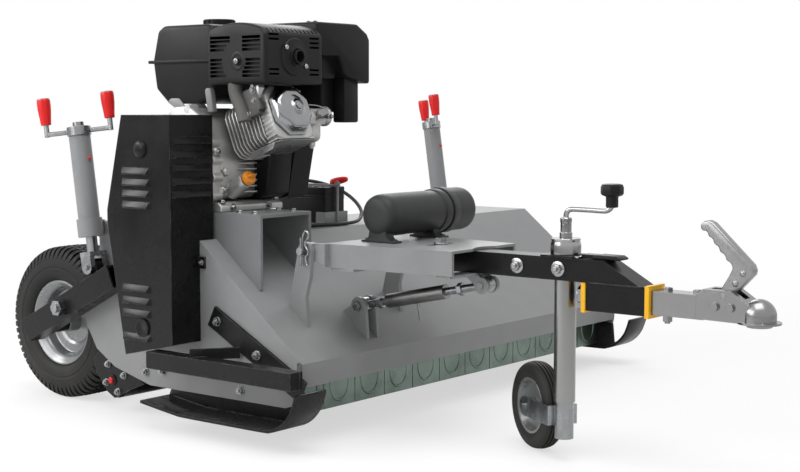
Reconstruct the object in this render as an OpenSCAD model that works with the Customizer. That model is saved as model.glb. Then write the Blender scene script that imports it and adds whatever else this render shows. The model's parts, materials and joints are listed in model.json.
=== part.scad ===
// Towed flail mower with its own engine, wheel jacks, height-set drawbar and ball coupler.
// Millimetres. X runs forward to the coupler, Y to the left, Z up from the ground.

/* [Deck] */
// width of the deck over both side plates
deck_w = 1392; // [1360:1:1420]
// thickness of each side plate
plate_t = 8; // [7:0.5:10]
// thickness of the bent hood sheet
sheet_t = 6; // [4:0.5:8]
// height of the flat top of the hood
deck_top_z = 458; // [452:1:460]
// height of the fold above the front lip
lip_z = 195; // [190:1:198]
// height of the lower edge of the front lip
lip_low_z = 139; // [136:1:145]
// width of the outward foot of each skid
skid_foot_w = 94; // [80:1:100]

/* [Rotor] */
// radius of the rotor tube
rotor_tube_r = 60; // [55:1:65]
// radius of the rotor shaft ends
rotor_shaft_r = 20; // [18:0.5:22]
// radius of the rods the hammers hang on
hammer_rod_r = 8; // [7:0.5:9]
// reach of the hammer tips from the rotor axis
hammer_tip_r = 172; // [165:1:176]

/* [Rear roller] */
// radius of the rear roller
roller_r = 48; // [44:1:50]
// radius of the roller shaft
roller_shaft_r = 14; // [12:0.5:16]

/* [Flaps] */
// radius of the rod the front flaps hang on
flap_rod_r = 6; // [5:0.5:7]
// height of the lower edge of the flaps
flap_low_z = 64; // [58:1:75]
// sheet thickness of one flap
flap_t = 3; // [2:0.5:4]

/* [Wheels] */
// outer radius of the road tyres
tyre_r = 203; // [198:0.5:205]
// width of the road tyres
tyre_w = 150; // [140:1:155]
// radius of the rim flange
rim_r = 114; // [110:0.5:116]
// radius of the stub axles
axle_r = 12.5; // [11:0.5:14]
// radius of the lever pivot bolts
pivot_r = 12; // [10:0.5:13]
// height of the square lever tube
lever_h = 60; // [54:1:64]
// width of the square lever tube
lever_w = 50; // [46:1:54]

/* [Wheel jacks] */
// outer radius of the jack tube
jack_r = 27; // [25:0.5:29]
// radius of the sliding jack rod
jack_rod_r = 14; // [12:0.5:16]
// radius of the pin in the jack fork
fork_pin_r = 8; // [7:0.5:9]
// radius of the jack trunnion
trunnion_r = 10; // [9:0.5:11]
// radius at which the crank grips stand
crank_reach = 81; // [74:1:88]

/* [Drawbar] */
// radius of the hinge pins at the deck lugs
hinge_pin_r = 9; // [8:0.5:10]
// width of the square drawbar arm
arm_w = 60; // [56:1:62]
// height of the square drawbar arm
arm_h = 50; // [48:1:51]
// radius of the pivot bolt and the clamp bolt
arm_bolt_r = 9; // [8:0.5:10]
// radius of the turnbuckle rods
rod_r = 9; // [8:0.5:10]
// radius of the turnbuckle end pins
rod_pin_r = 7; // [6:0.5:7.5]

/* [Coupler] */
// radius of the socket for the tow ball
socket_r = 25.2; // [25.1:0.05:25.5]
// radius of the shaft the coupler rolls on
roll_shaft_r = 20; // [18:0.5:21]

/* [Jockey wheel] */
// outer radius of the jockey tube
jockey_r = 24; // [23:0.5:25]
// wall of the jockey tube
jockey_wall = 3; // [2.5:0.25:3.5]
// outer radius of the jockey tyre
jockey_tyre_r = 100; // [96:0.5:100]
// width of the jockey tyre
jockey_tyre_w = 50; // [44:1:52]

/* [Document tube] */
// outer radius of the document tube
doc_r = 50; // [46:0.5:52]

/* [Fits] */
// radial running gap of shafts, pins and bolts
run_gap = 0.05; // [0.03:0.01:0.09]
// gap between neighbouring parts that slide or pass
pass_gap = 0.3; // [0.2:0.05:0.5]
// radial play of the jack pin in the lever lug
lug_play = 3.8; // [3.6:0.1:4.2]
// radial play of the turnbuckle front pin
rod_play = 1.4; // [1.2:0.1:1.8]

/* [Hidden] */
$fn = 48;
side_y = deck_w / 2;
in_y = side_y - plate_t;
rx = -386;
rz = 249;
ez = 676;
yd = 286 - side_y;
bar_a = [-640, 160];
bar_b = [-600, 345];
bar_c = [-557, deck_top_z];
bar_d = [-285, deck_top_z];
bar_e = [45, lip_z];
bar_f = [41, lip_low_z];
flap_x = -8;
flap_z = 168;
roller_x = -619;
roller_z = 80;
wheel_x = -858;
wheel_z = tyre_r;
piv = [-732, 265];
axl = [wheel_x, tyre_r];
clv = [-629, 375];
trn = [-643, 468];
lever_in = side_y + 10;
lever_y = lever_in + lever_w / 2;
jack_lean = atan2(trn[0] - clv[0], trn[1] - clv[1]);
jack_len = sqrt(pow(trn[0] - clv[0], 2) + pow(trn[1] - clv[1], 2));
lever_a = atan2(piv[1] - axl[1], piv[0] - axl[0]);
lever_back = sqrt(pow(piv[1] - axl[1], 2) + pow(piv[0] - axl[0], 2));
tyre_out = side_y - 22;
hinge = [-42, 440];
arm_z0 = 402;
arm_top = arm_z0 + arm_h;
arm_mid = arm_z0 + arm_h / 2;
box_top = arm_top + pass_gap + 6;
strap_top = arm_z0 - pass_gap;
swing = 13;
slot_r = arm_bolt_r + pass_gap;
pvx = 48;
clx = 223;
cpl_z = arm_z0 - 30;
cpl_x0 = 632;
cpl_x1 = 776;
tb_e = [-11, 296];
tb_f = [353, 373];
tb_a = atan2(tb_f[1] - tb_e[1], tb_f[0] - tb_e[0]);
tb_len = sqrt(pow(tb_f[1] - tb_e[1], 2) + pow(tb_f[0] - tb_e[0], 2));
jkx = 562;
jk_turn = 150;
jk_trail = 126;
jk_low = 132;
leg_r = jockey_r - jockey_wall - run_gap;
leg_in = leg_r - 4;
ball_x = 1016;
grip_pin = [950, 398];
sz = deck_top_z;
bumper_bolts = [[-218, 270], [-89, 203]];
roller_bolts = [[-634, 120], [-574, 97], [-642, 72], [-598, 52]];
plate_bolts = [[-482, 118], [-420, 128], [-150, 112]];
batt_h = 97;
doc_x = 85;
cable_r = 5;
// battery cable, heights above the deck top
cable_route = [[-345, -461.8, 28], [-345, -428, 28], [-344, -394, 23], [-341, -358, 14], [-336, -320, 8],
    [-328, -280, 6], [-317, -238, 6], [-304, -196, 6], [-297, -154, 6], [-297, -118, 7],
    [-305, -87, 10], [-320, -57, 18], [-345, -27, 33], [-384, -5, 54], [-425, -1, 76],
    [-461, -17, 94], [-487, -46, 106], [-499, -82, 112], [-500, -117.6, 112]];
stand_top = ez - 154;
// what stands on the right is drawn for a side plate at side_0, and the engine for a shaft at e0
side_0 = 696;
e0 = 676;
seat_0 = e0 - 154;
eng_y0 = -646;
bead_r = rim_r - 13;
lug_pitch = (2 * in_y - 96) / 8;
muf_y = -520;
muf_z = 895;
// radius of the belt groove on the rotor and on the engine
groove_r = 40;
groove_e = 46;
// height of the sloping front of the hood
function hood_z(x) = deck_top_z - (x - bar_d[0]) * (deck_top_z - lip_z) / (bar_e[0] - bar_d[0]);
// sub-part to draw

function miter(p, q, r, t) = let (u = (q - p) / norm(q - p), v = (r - q) / norm(r - q),
    n1 = [u[1], -u[0]], n2 = [v[1], -v[0]]) q + t * (n1 + n2) / (1 + n1 * n2);
function stepn(p, q, t) = let (u = (q - p) / norm(q - p)) [u[1], -u[0]] * t;

// side-view outline pushed along Y, from y0 over the width w
module slab(y0, w) {
    translate([0, y0 + w, 0]) rotate([90, 0, 0]) linear_extrude(w) children();
}
// cylinder along Y from y0 over the length w, centred on a side-view point
module ycyl(p, y0, w, r) {
    translate([p[0], y0 + w, p[1]]) rotate([90, 0, 0]) cylinder(h = w, r = r);
}
// cylinder along X
module xcyl(x0, y, z, w, r) {
    translate([x0, y, z]) rotate([0, 90, 0]) cylinder(h = w, r = r);
}
// straight bar in the side view from p to q with half width h
module beam2(p, q, h) {
    a = atan2(q[1] - p[1], q[0] - p[0]);
    l = sqrt(pow(q[1] - p[1], 2) + pow(q[0] - p[0], 2));
    translate(p) rotate(a) translate([0, -h]) square([l, 2 * h]);
}
// mirror image to the left of the centre plane
module left() {
    mirror([0, 1, 0]) children();
}
// pieces that keep to the right side plate
module aside() {
    translate([0, side_0 - side_y, 0]) children();
}
// pieces that also keep to the engine shaft
module engine_at() {
    aside() translate([0, 0, ez - e0]) children();
}

module side_outline() {
    difference() {
        union() {
            polygon([bar_d, bar_e, bar_f, [29, 99], [-10, 88], [-360, 86], [-468, 86], [-600, 118],
                [-669, 158], [-706, 215], [-714, 250], [-690, 320], [-650, 400], [-610, deck_top_z]]);
            translate(piv) circle(r = 29);
            translate([-740, 236]) square([60, 58]);
            translate(trn) circle(r = 24);
            translate([trn[0] - 8, 400]) square([60, 68]);
        }
        translate(piv) circle(r = pivot_r + run_gap);
        translate(trn) circle(r = trunnion_r + run_gap);
        translate([rx, rz]) circle(r = rotor_shaft_r + run_gap);
    }
}
module hood_section() {
    polygon([bar_a, bar_b, bar_c, bar_d, bar_e, bar_f, bar_f + stepn(bar_e, bar_f, sheet_t),
        miter(bar_d, bar_e, bar_f, sheet_t), miter(bar_c, bar_d, bar_e, sheet_t),
        miter(bar_b, bar_c, bar_d, sheet_t), miter(bar_a, bar_b, bar_c, sheet_t),
        bar_a + stepn(bar_a, bar_b, sheet_t)]);
}
module lug_plate(y0) {
    difference() {
        slab(y0, 12) union() {
            translate(hinge) circle(r = 21);
            polygon([[-63, 440], [-21, 440], [-26, 380], [-40, 330], [-34, hood_z(-34) - 3],
                [-94, hood_z(-94) - 3], [-76, 380]]);
        }
        ycyl(hinge, y0 - 1, 14, hinge_pin_r + run_gap);
    }
}
module deck_hood() {
    color("gray") {
        slab(-in_y, 2 * in_y) hood_section();
        slab(-side_y, plate_t) side_outline();
        slab(side_y - plate_t, plate_t) side_outline();
        lug_plate(yd - 181);
        lug_plate(yd + 169);
        for (s = [-1, 1]) difference() {
            slab(yd + s * 19.3 - 5, 10) union() {
                translate(tb_e) circle(r = 22);
                polygon([[-33, 296], [11, 296], [18, hood_z(18) - 3], [-62, hood_z(-62) - 3]]);
            }
            ycyl(tb_e, yd - 40, 80, rod_pin_r + run_gap);
        }
        ycyl([flap_x, flap_z], -in_y, 2 * in_y, flap_rod_r);
    }
}

module engine_stand() {
    color("dimgray") aside() {
        difference() {
            translate([-492, -640, sz]) cube([355, 178, stand_top - sz]);
            translate([-493, -632, sz - 1]) cube([400, 162, stand_top - sz - 7]);
        }
        for (y = [-640, -470]) slab(y, 8) polygon([[-285, sz], [-285, sz + 10], [-137, sz + 10],
            [-137, hood_z(-137) + 4], [-142, hood_z(-142)]]);
    }
}

module skid_strip() {
    polygon([[-410, 62], [-272, 45], [14, 47], [58, 64], [90, 98], [106, 142], [98, 145],
        [83, 103], [54, 71], [13, 55], [-272, 53], [-409, 70]]);
}
module skid_one() {
    slab(-in_y - skid_foot_w, skid_foot_w + 8) skid_strip();
    slab(-in_y, 8) polygon([[-409, 66], [-272, 49], [14, 51], [50, 67], [44, 128], [-380, 128]]);
}
module skids() {
    color("black") {
        skid_one();
        left() skid_one();
    }
}

module side_bumper() {
    color("black") {
        slab(-side_y - 8, 8) beam2([-240, 282], [50, 132], 26);
        translate([-354, -side_y - 112, 158]) cube([466, 6, 40]);
        translate([-354, -side_y - 112, 192]) cube([466, 40, 6]);
        translate([104, -side_y - 112, 158]) cube([8, 40, 40]);
        translate([104, -side_y - 77, 178]) rotate([0, 0, 132]) translate([-10, -4, -20]) cube([108, 8, 40]);
        translate([-150, -side_y - 8, 210]) rotate([0, 0, -125]) translate([-4, -4, -20]) cube([118, 8, 26]);
    }
}

module guard_outline(c) {
    polygon([[-453 + c, ez + 81 - c], [-284 - c, ez + 81 - c], [-284 - c, rz - 33 + c],
        [-450 + c, rz - 71 + 1.2 * c], [-509 + c, ez - 176], [-509 + c, ez - 148]]);
}
module belt_guard() {
    color("black") aside() {
        difference() {
            union() {
                slab(-788, 788 - side_0) guard_outline(0);
                intersection() {
                    slab(-788, 138) guard_outline(0);
                    translate([-600, -800, sz + pass_gap]) cube([400, 200, 400]);
                }
            }
            slab(-785, 200) guard_outline(3);
            for (z = [-140, -113, -86, -59]) translate([-448, -790, ez + z]) cube([90, 8, 12]);
            for (z = [-31, 27, 57, 87]) translate([-452, -790, rz + z]) cube([90, 8, 12]);
            for (z = [-112, -82, -50, -18, 14]) translate([-290, -776, ez + z]) cube([10, 112, 12]);
        }
        ycyl([rx, rz], -792, 8, 20);
        ycyl([rx, ez], -792, 8, 20);
        translate([-287, -side_0 - 4, 392]) cube([24, 4, 28]);
    }
}

module hex_y(p, y0, w, r) {
    translate([p[0], y0 + w, p[1]]) rotate([90, 0, 0]) cylinder(h = w, r = r, $fn = 6);
}
// washer, hex head and stud end that stand on the outer face at y = f
module bolt_head(p, f, r) {
    ycyl(p, f - 2, 2, 1.9 * r);
    hex_y(p, f - 2 - 1.1 * r, 1.1 * r, 1.6 * r);
    ycyl(p, f - 2 - 1.9 * r, 0.8 * r, 0.8 * r);
}
module pivot_bolt() {
    ycyl(piv, -lever_in - lever_w - 26, lever_w + 36 + lever_in - in_y, pivot_r);
    hex_y(piv, -lever_in - lever_w - 20 - pass_gap, 20, pivot_r + 9);
    hex_y(piv, -in_y + pass_gap, 8, pivot_r + 8);
}
module deck_bolts() {
    color("silver") {
        pivot_bolt();
        left() pivot_bolt();
        for (p = bumper_bolts) bolt_head(p, -side_y - 8, 6);
        for (s = [0, 1]) mirror([0, s, 0]) {
            for (p = roller_bolts) bolt_head(p, -in_y, 5);
            for (p = plate_bolts) bolt_head(p, -side_y, 6);
        }
        bolt_head([-275, 406], -side_y - 4, 4);
    }
}

module crankcase() {
    color("silver") engine_at() difference() {
        union() {
            translate([-486, eng_y0, seat_0 + 22]) cube([196, 236, 150]);
            ycyl([rx - 5, e0 + 6], eng_y0, 236, 98);
            translate([-496, -636, seat_0]) cube([226, 216, 22]);
            translate([-300, -600, 544]) cube([36, 60, 71]);
            translate([-470, -600, 740]) cube([70, 180, 42.7]);
        }
        cylinder_block();
        ycyl([rx, e0], eng_y0 - 1, 60, 14 + run_gap);
        translate([-266, -570, 590]) rotate([0, 60, 0]) translate([0, 0, -20]) cylinder(h = 40, r = 12);
    }
}

cyl_o = [rx, e0 - 6];
cyl_a = 22;
// frame of the slanted cylinder: local X runs out along its axis
module on_cylinder() {
    translate([cyl_o[0], -516, cyl_o[1]]) rotate([0, -cyl_a, 0]) children();
}
module cylinder_block() {
    on_cylinder() {
        translate([94, -50, -50]) cube([122, 100, 100]);
        for (i = [0 : 8]) translate([98 + i * 13, -66, -66]) cube([6, 132, 134]);
        translate([212, -66, -68]) cube([36, 132, 138]);
        translate([150, -70, -84]) cube([100, 140, 16]);
    }
}
module cylinder_part() {
    color("silver") engine_at() cylinder_block();
}
module valve_cover() {
    color("white") engine_at() on_cylinder() {
        translate([248.3, 0, 4]) rotate([0, 90, 0]) rotate(22.5) cylinder(h = 8, r = 68, $fn = 8);
        translate([255, 0, 4]) rotate([0, 90, 0]) rotate(22.5) cylinder(h = 26, r = 60, $fn = 8);
        translate([281, 0, 4]) rotate([0, 90, 0]) cylinder(h = 5, r = 16);
    }
}
// elbow, inner muffler can and tail pipe, which hangs in the guard
module exhaust() {
    color("dimgray") engine_at() difference() {
        union() {
            on_cylinder() translate([190, -84, 10]) cube([44, 17.7, 60]);
            translate([-232, -598.5, 760]) rotate([0, -24, 0]) cylinder(h = 54, r = 15);
            translate([-254, -598.5, 806]) cylinder(h = 40, r = 15);
            translate([-318, -606, 840]) cube([160, 176, 92]);
            xcyl(-170, muf_y, muf_z, 54, 17);
        }
        translate([-315, -603, 843]) cube([154, 170, 86]);
        xcyl(-170, muf_y, muf_z, 70, 14);
    }
}
module muffler_guard() {
    color("black") engine_at() difference() {
        union() {
            translate([-331, -620, 829]) cube([195, 203, 119]);
            intersection() {
                translate([-331, -620, 829]) cube([195, 203, 160]);
                translate([-233.5, -400, 700]) rotate([90, 0, 0]) cylinder(h = 230, r = 276);
            }
            xcyl(-138, muf_y, muf_z, 6, 34);
        }
        translate([-327, -616, 820]) cube([187, 195, 124]);
        intersection() {
            translate([-327, -616, 820]) cube([187, 195, 160]);
            translate([-233.5, -400, 700]) rotate([90, 0, 0]) cylinder(h = 230, r = 272);
        }
        xcyl(-150, muf_y, muf_z, 40, 17 + pass_gap);
        for (z = [846, 858, 870, 900, 912, 924]) {
            translate([-318, -625, z]) cube([62, 11, 6]);
            translate([-236, -625, z]) cube([76, 11, 6]);
        }
        for (z = [846, 858, 924, 934]) {
            translate([-142, -606, z]) cube([10, 36, 5]);
            translate([-142, -466, z]) cube([10, 36, 5]);
        }
    }
    color("black") engine_at() translate([-328, -520, 870]) cube([9.7, 30, 12]);
}
module fuel_tank() {
    color("black") engine_at() difference() {
        union() {
            slab(-594, 364) polygon([[-556, 888], [-534, 970], [-514, 978], [-350, 978], [-337, 966],
                [-337, 800], [-400, 783], [-500, 783], [-544, 820]]);
            translate([-566, -600, 884]) cube([230, 376, 8]);
        }
        translate([-430, -480, 960]) cylinder(h = 60, r = 22 + run_gap);
    }
}
module fuel_cap() {
    color("black") engine_at() {
        translate([-430, -480, 965]) cylinder(h = 14, r = 22);
        translate([-430, -480, 978 + pass_gap]) cylinder(h = 17, r = 38);
        for (a = [0 : 30 : 330]) translate([-430, -480, 978 + pass_gap]) rotate(a) translate([36, -4, 0])
            cube([5, 8, 15]);
    }
}
// lid with a stepped front face, the filter body set back under it, and the neck to the carburettor
module air_filter() {
    color("black") engine_at() {
        translate([-335.7, 0, 0]) rotate([90, 0, 90]) linear_extrude(180.7) polygon([[-416.7, 904],
            [-331, 904], [-308, 852], [-212.7, 834], [-212.7, 948], [-222, 962], [-262, 985], [-416.7, 985]]);
        translate([-330, -410, 846]) cube([148, 92, 60]);
        translate([-320, -340, 760]) cube([110, 90, 110]);
        translate([-210, -300, 735]) cube([40, 60, 120]);
        translate([-250, -330, 985]) cylinder(h = 9, r = 12);
    }
}
module carburettor() {
    color("silver") engine_at() {
        translate([-225, -449.7, 730]) cube([52, 109.4, 44]);
        translate([-199, -390, 690]) cylinder(h = 42, r = 22);
        translate([-199, -390, 672]) cylinder(h = 20, r = 9);
        xcyl(-178, -380, 752, 40, 5);
    }
}
module oil_dipstick() {
    color("orange") engine_at() translate([-266, -570, 590]) rotate([0, 60, 0]) {
        translate([0, 0, -18]) cylinder(h = 40, r = 12 - run_gap);
        translate([0, 0, 20.3]) cylinder(h = 16, r = 20);
        translate([-4, -19, 34]) cube([8, 38, 12]);
    }
}
module blower_housing() {
    color("black") engine_at() {
        ycyl([rx - 5, e0 - 10], -409.7, 80, 112);
        ycyl([rx - 5, e0 - 10], -330, 34, 90);
        slab(-409.7, 69) polygon([[-300, 740], [-250, 716], [-235, 680], [-262, 552], [-290, 545],
            [-440, 545], [-440, 700]]);
    }
}
module engine_pulley() {
    color("dimgray") aside() {
        ycyl([rx, ez], -770, 175, 14);
        difference() {
            ycyl([rx, ez], -760, 44, groove_e + 9);
            ycyl([rx, ez], -746, 16, 70);
        }
        ycyl([rx, ez], -760, 44, groove_e);
    }
}
module drive_belt() {
    color("black") aside() difference() {
        slab(-744, 12) belt_loop(7.2);
        slab(-745, 14) belt_loop(pass_gap);
    }
}
// outline round both grooves, out by g
module belt_loop(g) {
    translate([rx, rz]) circle(r = groove_r + g);
    translate([rx, ez]) circle(r = groove_e + g);
    polygon([[rx - groove_r - g, rz], [rx + groove_r + g, rz], [rx + groove_e + g, ez],
        [rx - groove_e - g, ez]]);
}

module battery() {
    color("black") aside() {
        translate([-517, -186, sz + 6]) cube([180, 80, batt_h]);
        translate([-508, -134, sz + 5 + batt_h]) cube([16, 16, 20]);
    }
}
module battery_tray() {
    color("gray") aside() {
        difference() {
            translate([-523, -192, sz]) cube([192, 92, 36]);
            translate([-517, -186, sz + 6]) cube([180, 80, 40]);
            translate([-490, -195, sz + 6]) cube([126, 100, 40]);
        }
        for (x = [-328, -526]) {
            translate([x, -146, sz]) cylinder(h = batt_h + 22, r = 4);
            translate([x, -146, sz + batt_h + 12]) cylinder(h = 7, r = 8, $fn = 6);
        }
        translate([-534, -154, sz + 6.3 + batt_h]) cube([24, 16, 6]);
        translate([-534, -148, sz + 6.3 + batt_h]) cube([212, 8, 6]);
    }
}
module terminal_boot() {
    color("red") aside() {
        translate([-360, -122, sz + 6 + batt_h]) cylinder(h = 20, r = 12);
        translate([-360, -122, sz + 18 + batt_h]) rotate([0, 78, 20]) cylinder(h = 40, r = 8);
    }
}
// sweep of a round tube: a smooth path through the route, with a ring at every step
function smooth(p, i, t) = let (n = len(p), a = p[max(i - 1, 0)], b = p[i], c = p[i + 1],
    d = p[min(i + 2, n - 1)]) 0.5 * (2 * b + (c - a) * t + (2 * a - 5 * b + 4 * c - d) * t * t
    + (3 * b - a - 3 * c + d) * t * t * t);
function path_of(p, k) = [for (i = [0 : len(p) - 2]) for (j = [0 : k - 1]) smooth(p, i, j / k),
    p[len(p) - 1]];
function unit(v) = v / norm(v);
function along(q, i) = unit(q[min(i + 1, len(q) - 1)] - q[max(i - 1, 0)]);
function ring(q, i, r, m) = let (t = along(q, i), s = unit(cross(t, [0, 0, 1])), u = cross(s, t))
    [for (k = [0 : m - 1]) q[i] + r * (cos(360 * k / m) * s + sin(360 * k / m) * u)];
module tube_along(q, r, m) {
    n = len(q);
    pts = [for (i = [0 : n - 1]) each ring(q, i, r, m)];
    sides = [for (i = [0 : n - 2]) for (k = [0 : m - 1]) let (a = i * m + k, b = i * m + (k + 1) % m)
        each [[a, b, a + m], [b, b + m, a + m]]];
    first = [for (k = [1 : m - 2]) [0, k + 1, k]];
    last = [for (k = [1 : m - 2]) [(n - 1) * m, (n - 1) * m + k, (n - 1) * m + k + 1]];
    polyhedron(concat(pts), concat(sides, first, last), convexity = 6);
}
module battery_cable() {
    color("black") aside() translate([0, 0, sz]) tube_along(path_of(cable_route, 2), cable_r, 8);
}

module roller_plate_one() {
    difference() {
        slab(-in_y, 8) polygon([[-660, 160], [-560, 122], [-500, 84], [-560, 60], [-612, 34], [-640, 48],
            [-684, 96], [-690, 130]]);
        ycyl([roller_x, roller_z], -in_y - 1, 10, roller_shaft_r + run_gap);
    }
}
module roller_plates() {
    color("black") {
        roller_plate_one();
        left() roller_plate_one();
    }
}
module rear_roller() {
    color("black") {
        difference() {
            ycyl([roller_x, roller_z], -in_y + 14, 2 * in_y - 28, roller_r);
            ycyl([roller_x, roller_z], -in_y + 24, 2 * in_y - 48, roller_r - 5);
        }
        for (s = [0, 1]) mirror([0, s, 0]) ycyl([roller_x, roller_z], -in_y - 4, 34, roller_shaft_r);
    }
}
module rotor() {
    color("dimgray") {
        ycyl([rx, rz], -side_y - 74, plate_t + 104, rotor_shaft_r);
        ycyl([rx, rz], in_y - 30, 46, rotor_shaft_r);
        difference() {
            ycyl([rx, rz], -in_y + 12, 2 * in_y - 24, rotor_tube_r);
            ycyl([rx, rz], -in_y + 24, 2 * in_y - 48, rotor_tube_r - 8);
        }
        for (s = [-1, 1]) {
            ycyl([rx + s * 92, rz], -in_y + 30, 2 * in_y - 60, hammer_rod_r);
            for (i = [0 : 8]) slab(48 - in_y + i * lug_pitch - 4, 8) polygon([
                [rx + s * 54, rz - 20], [rx + s * 108, rz - 18], [rx + s * 108, rz + 18],
                [rx + s * 54, rz + 20]]);
        }
        difference() {
            ycyl([rx, rz], -side_y - 64, 44, groove_r + 8);
            ycyl([rx, rz], -side_y - 50, 16, 80);
        }
        ycyl([rx, rz], -side_y - 64, 44, groove_r);
    }
}
// a hammer hangs straight down from its rod while the rotor stands still
module hammer(s, y) {
    p = [rx + s * 92, rz];
    h = hammer_tip_r - 92;
    difference() {
        translate([0, y, 0]) {
            ycyl(p, 0, 44, hammer_rod_r + 8);
            slab(0, 44) translate(p) polygon([[-12, -6], [-9, 26 - h], [-20, -h], [20, -h],
                [9, 26 - h], [12, -6]]);
        }
        ycyl(p, y - 1, 46, hammer_rod_r + run_gap);
    }
}
module hammers_a() {
    color("silver") for (i = [0 : 7]) hammer(1, 26 - in_y + (i + 0.5) * lug_pitch);
}
module hammers_b() {
    color("silver") for (i = [0 : 7]) hammer(-1, 26 - in_y + (i + 0.5) * lug_pitch);
}
module front_flaps() {
    flap_span = 2 * (in_y - 10);
    pitch = flap_span / 12;
    color("silver") for (i = [0 : 11]) {
        y0 = -flap_span / 2 + i * pitch + 1.5;
        difference() {
            union() {
                translate([flap_x - flap_t / 2, y0, flap_low_z]) cube([flap_t, pitch - 3, flap_z - flap_low_z]);
                ycyl([flap_x, flap_z], y0, pitch - 3, flap_rod_r + 4);
            }
            ycyl([flap_x, flap_z], y0 - 1, pitch, flap_rod_r + run_gap);
        }
    }
}

module box_plan(a, b) {
    polygon([[-2 + a, yd - 155 + b], [346, yd - 125 + b], [346, yd + 125 - b], [-2 + a, yd + 155 - b]]);
}
module drawbar_frame() {
    color("gray") {
        difference() {
            union() {
                translate([0, 0, arm_z0]) linear_extrude(box_top - arm_z0) box_plan(0, 0);
                for (s = [-1, 1]) slab(yd + s * 160 - 8.5, 17) union() {
                    translate(hinge) circle(r = 19);
                    polygon([[hinge[0], hinge[1] - 19], [hinge[0], hinge[1] + 17], [10, box_top], [10, 408]]);
                }
            }
            translate([0, 0, arm_z0 - 1]) linear_extrude(arm_h + pass_gap + 1) box_plan(8, 8);
            for (s = [-1, 1]) ycyl(hinge, yd + s * 160 - 12, 24, hinge_pin_r + run_gap);
            translate([pvx, yd, 300]) cylinder(h = 300, r = arm_bolt_r + run_gap);
            translate([pvx, yd, box_top - 12]) {
                rotate(-swing) rotate_extrude(angle = 2 * swing) translate([clx - pvx - slot_r, 0])
                    square([2 * slot_r, 24]);
                for (a = [-swing, swing]) rotate(a) translate([clx - pvx, 0, 0]) cylinder(h = 24, r = slot_r);
            }
            translate([400, yd, 350]) cylinder(h = 200, r = 70);
        }
        difference() {
            translate([pvx - 34, yd - 150, strap_top - 6]) cube([68, 300, 6.3 + pass_gap]);
            translate([pvx, yd, 300]) cylinder(h = 300, r = arm_bolt_r + run_gap);
            translate([pvx - 40, yd - 140, strap_top]) cube([90, 280, 10]);
        }
        difference() {
            translate([300, yd - 123, strap_top - 6]) cube([40, 246, 6.3 + pass_gap]);
            translate([290, yd - 112, strap_top]) cube([90, 224, 10]);
        }
        for (s = [-1, 1]) {
            slab(yd + s * 18.3 - 5, 10) union() {
                translate(tb_f) circle(r = 19);
                polygon([[334, 373], [372, 373], [340, strap_top - 1], [300, strap_top - 1]]);
            }
        }
        ycyl(tb_f, yd - 30, 60, rod_pin_r);
    }
}
module document_tube() {
    color("black") {
        difference() {
            union() {
                ycyl([doc_x, box_top + 64], yd - 63, 267, doc_r);
                ycyl([doc_x, box_top + 64], yd - 75, 12.5, doc_r - 8);
                for (y = [yd - 68, yd + 116]) {
                    translate([doc_x - 30, y, box_top]) cube([60, 30, 26]);
                    translate([doc_x - 49, y, box_top]) cube([100, 30, 5]);
                }
            }
            ycyl([doc_x, box_top + 64], yd - 57, 277, doc_r - 4);
        }
    }
}
module document_cap() {
    color("black") difference() {
        ycyl([doc_x, box_top + 64], yd + 166, 96, doc_r + 6);
        ycyl([doc_x, box_top + 64], yd + 165, 75, doc_r + run_gap);
    }
}
module hinge_pins() {
    color("silver") for (s = [-1, 1]) {
        ycyl(hinge, yd + s * 170 - 31, 62, hinge_pin_r);
        ycyl(hinge, s < 0 ? yd - 139 : yd + 133, 6, hinge_pin_r + 5);
        translate([hinge[0], yd + s * 194, hinge[1] - 34]) cylinder(h = 66, r = 2.5);
    }
    color("silver") {
        ycyl(tb_e, yd - 34, 62, rod_pin_r);
        hex_y(tb_e, yd - 32 - pass_gap, 8, rod_pin_r + 5);
        hex_y(tb_e, yd + 24.6, 8, rod_pin_r + 5);
    }
}

module drawbar_arm() {
    color("black") {
        difference() {
            union() {
                slab(yd - arm_w / 2, arm_w) polygon([[14, arm_z0], [660, arm_z0], [763, arm_z0],
                    [673, arm_top], [14, arm_top]]);
                translate([cpl_x0, yd - 30, cpl_z - 30]) cube([cpl_x1 - cpl_x0, 60, 60]);
                translate([jkx - 40, yd - 40, arm_top]) cube([80, 80, 5]);
                translate([610, yd - 14, arm_top - 1]) cube([50, 28, 10]);
            }
            slab(yd - arm_w / 2 + 5, arm_w - 10) polygon([[10, arm_z0 + 5], [500, arm_z0 + 5],
                [500, arm_top - 5], [10, arm_top - 5]]);
            translate([cpl_x0 - 1, yd - 25, cpl_z - 25]) cube([cpl_x1 - cpl_x0 + 2, 50, 50]);
            translate([pvx, yd, 300]) cylinder(h = 300, r = arm_bolt_r + run_gap);
            translate([clx, yd, 300]) cylinder(h = 300, r = arm_bolt_r + run_gap);
            translate([jkx, yd, 300]) cylinder(h = 300, r = jockey_r + run_gap);
            ycyl([455, arm_mid], yd - 60, 120, 6 + run_gap);
        }
    }
}
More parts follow.
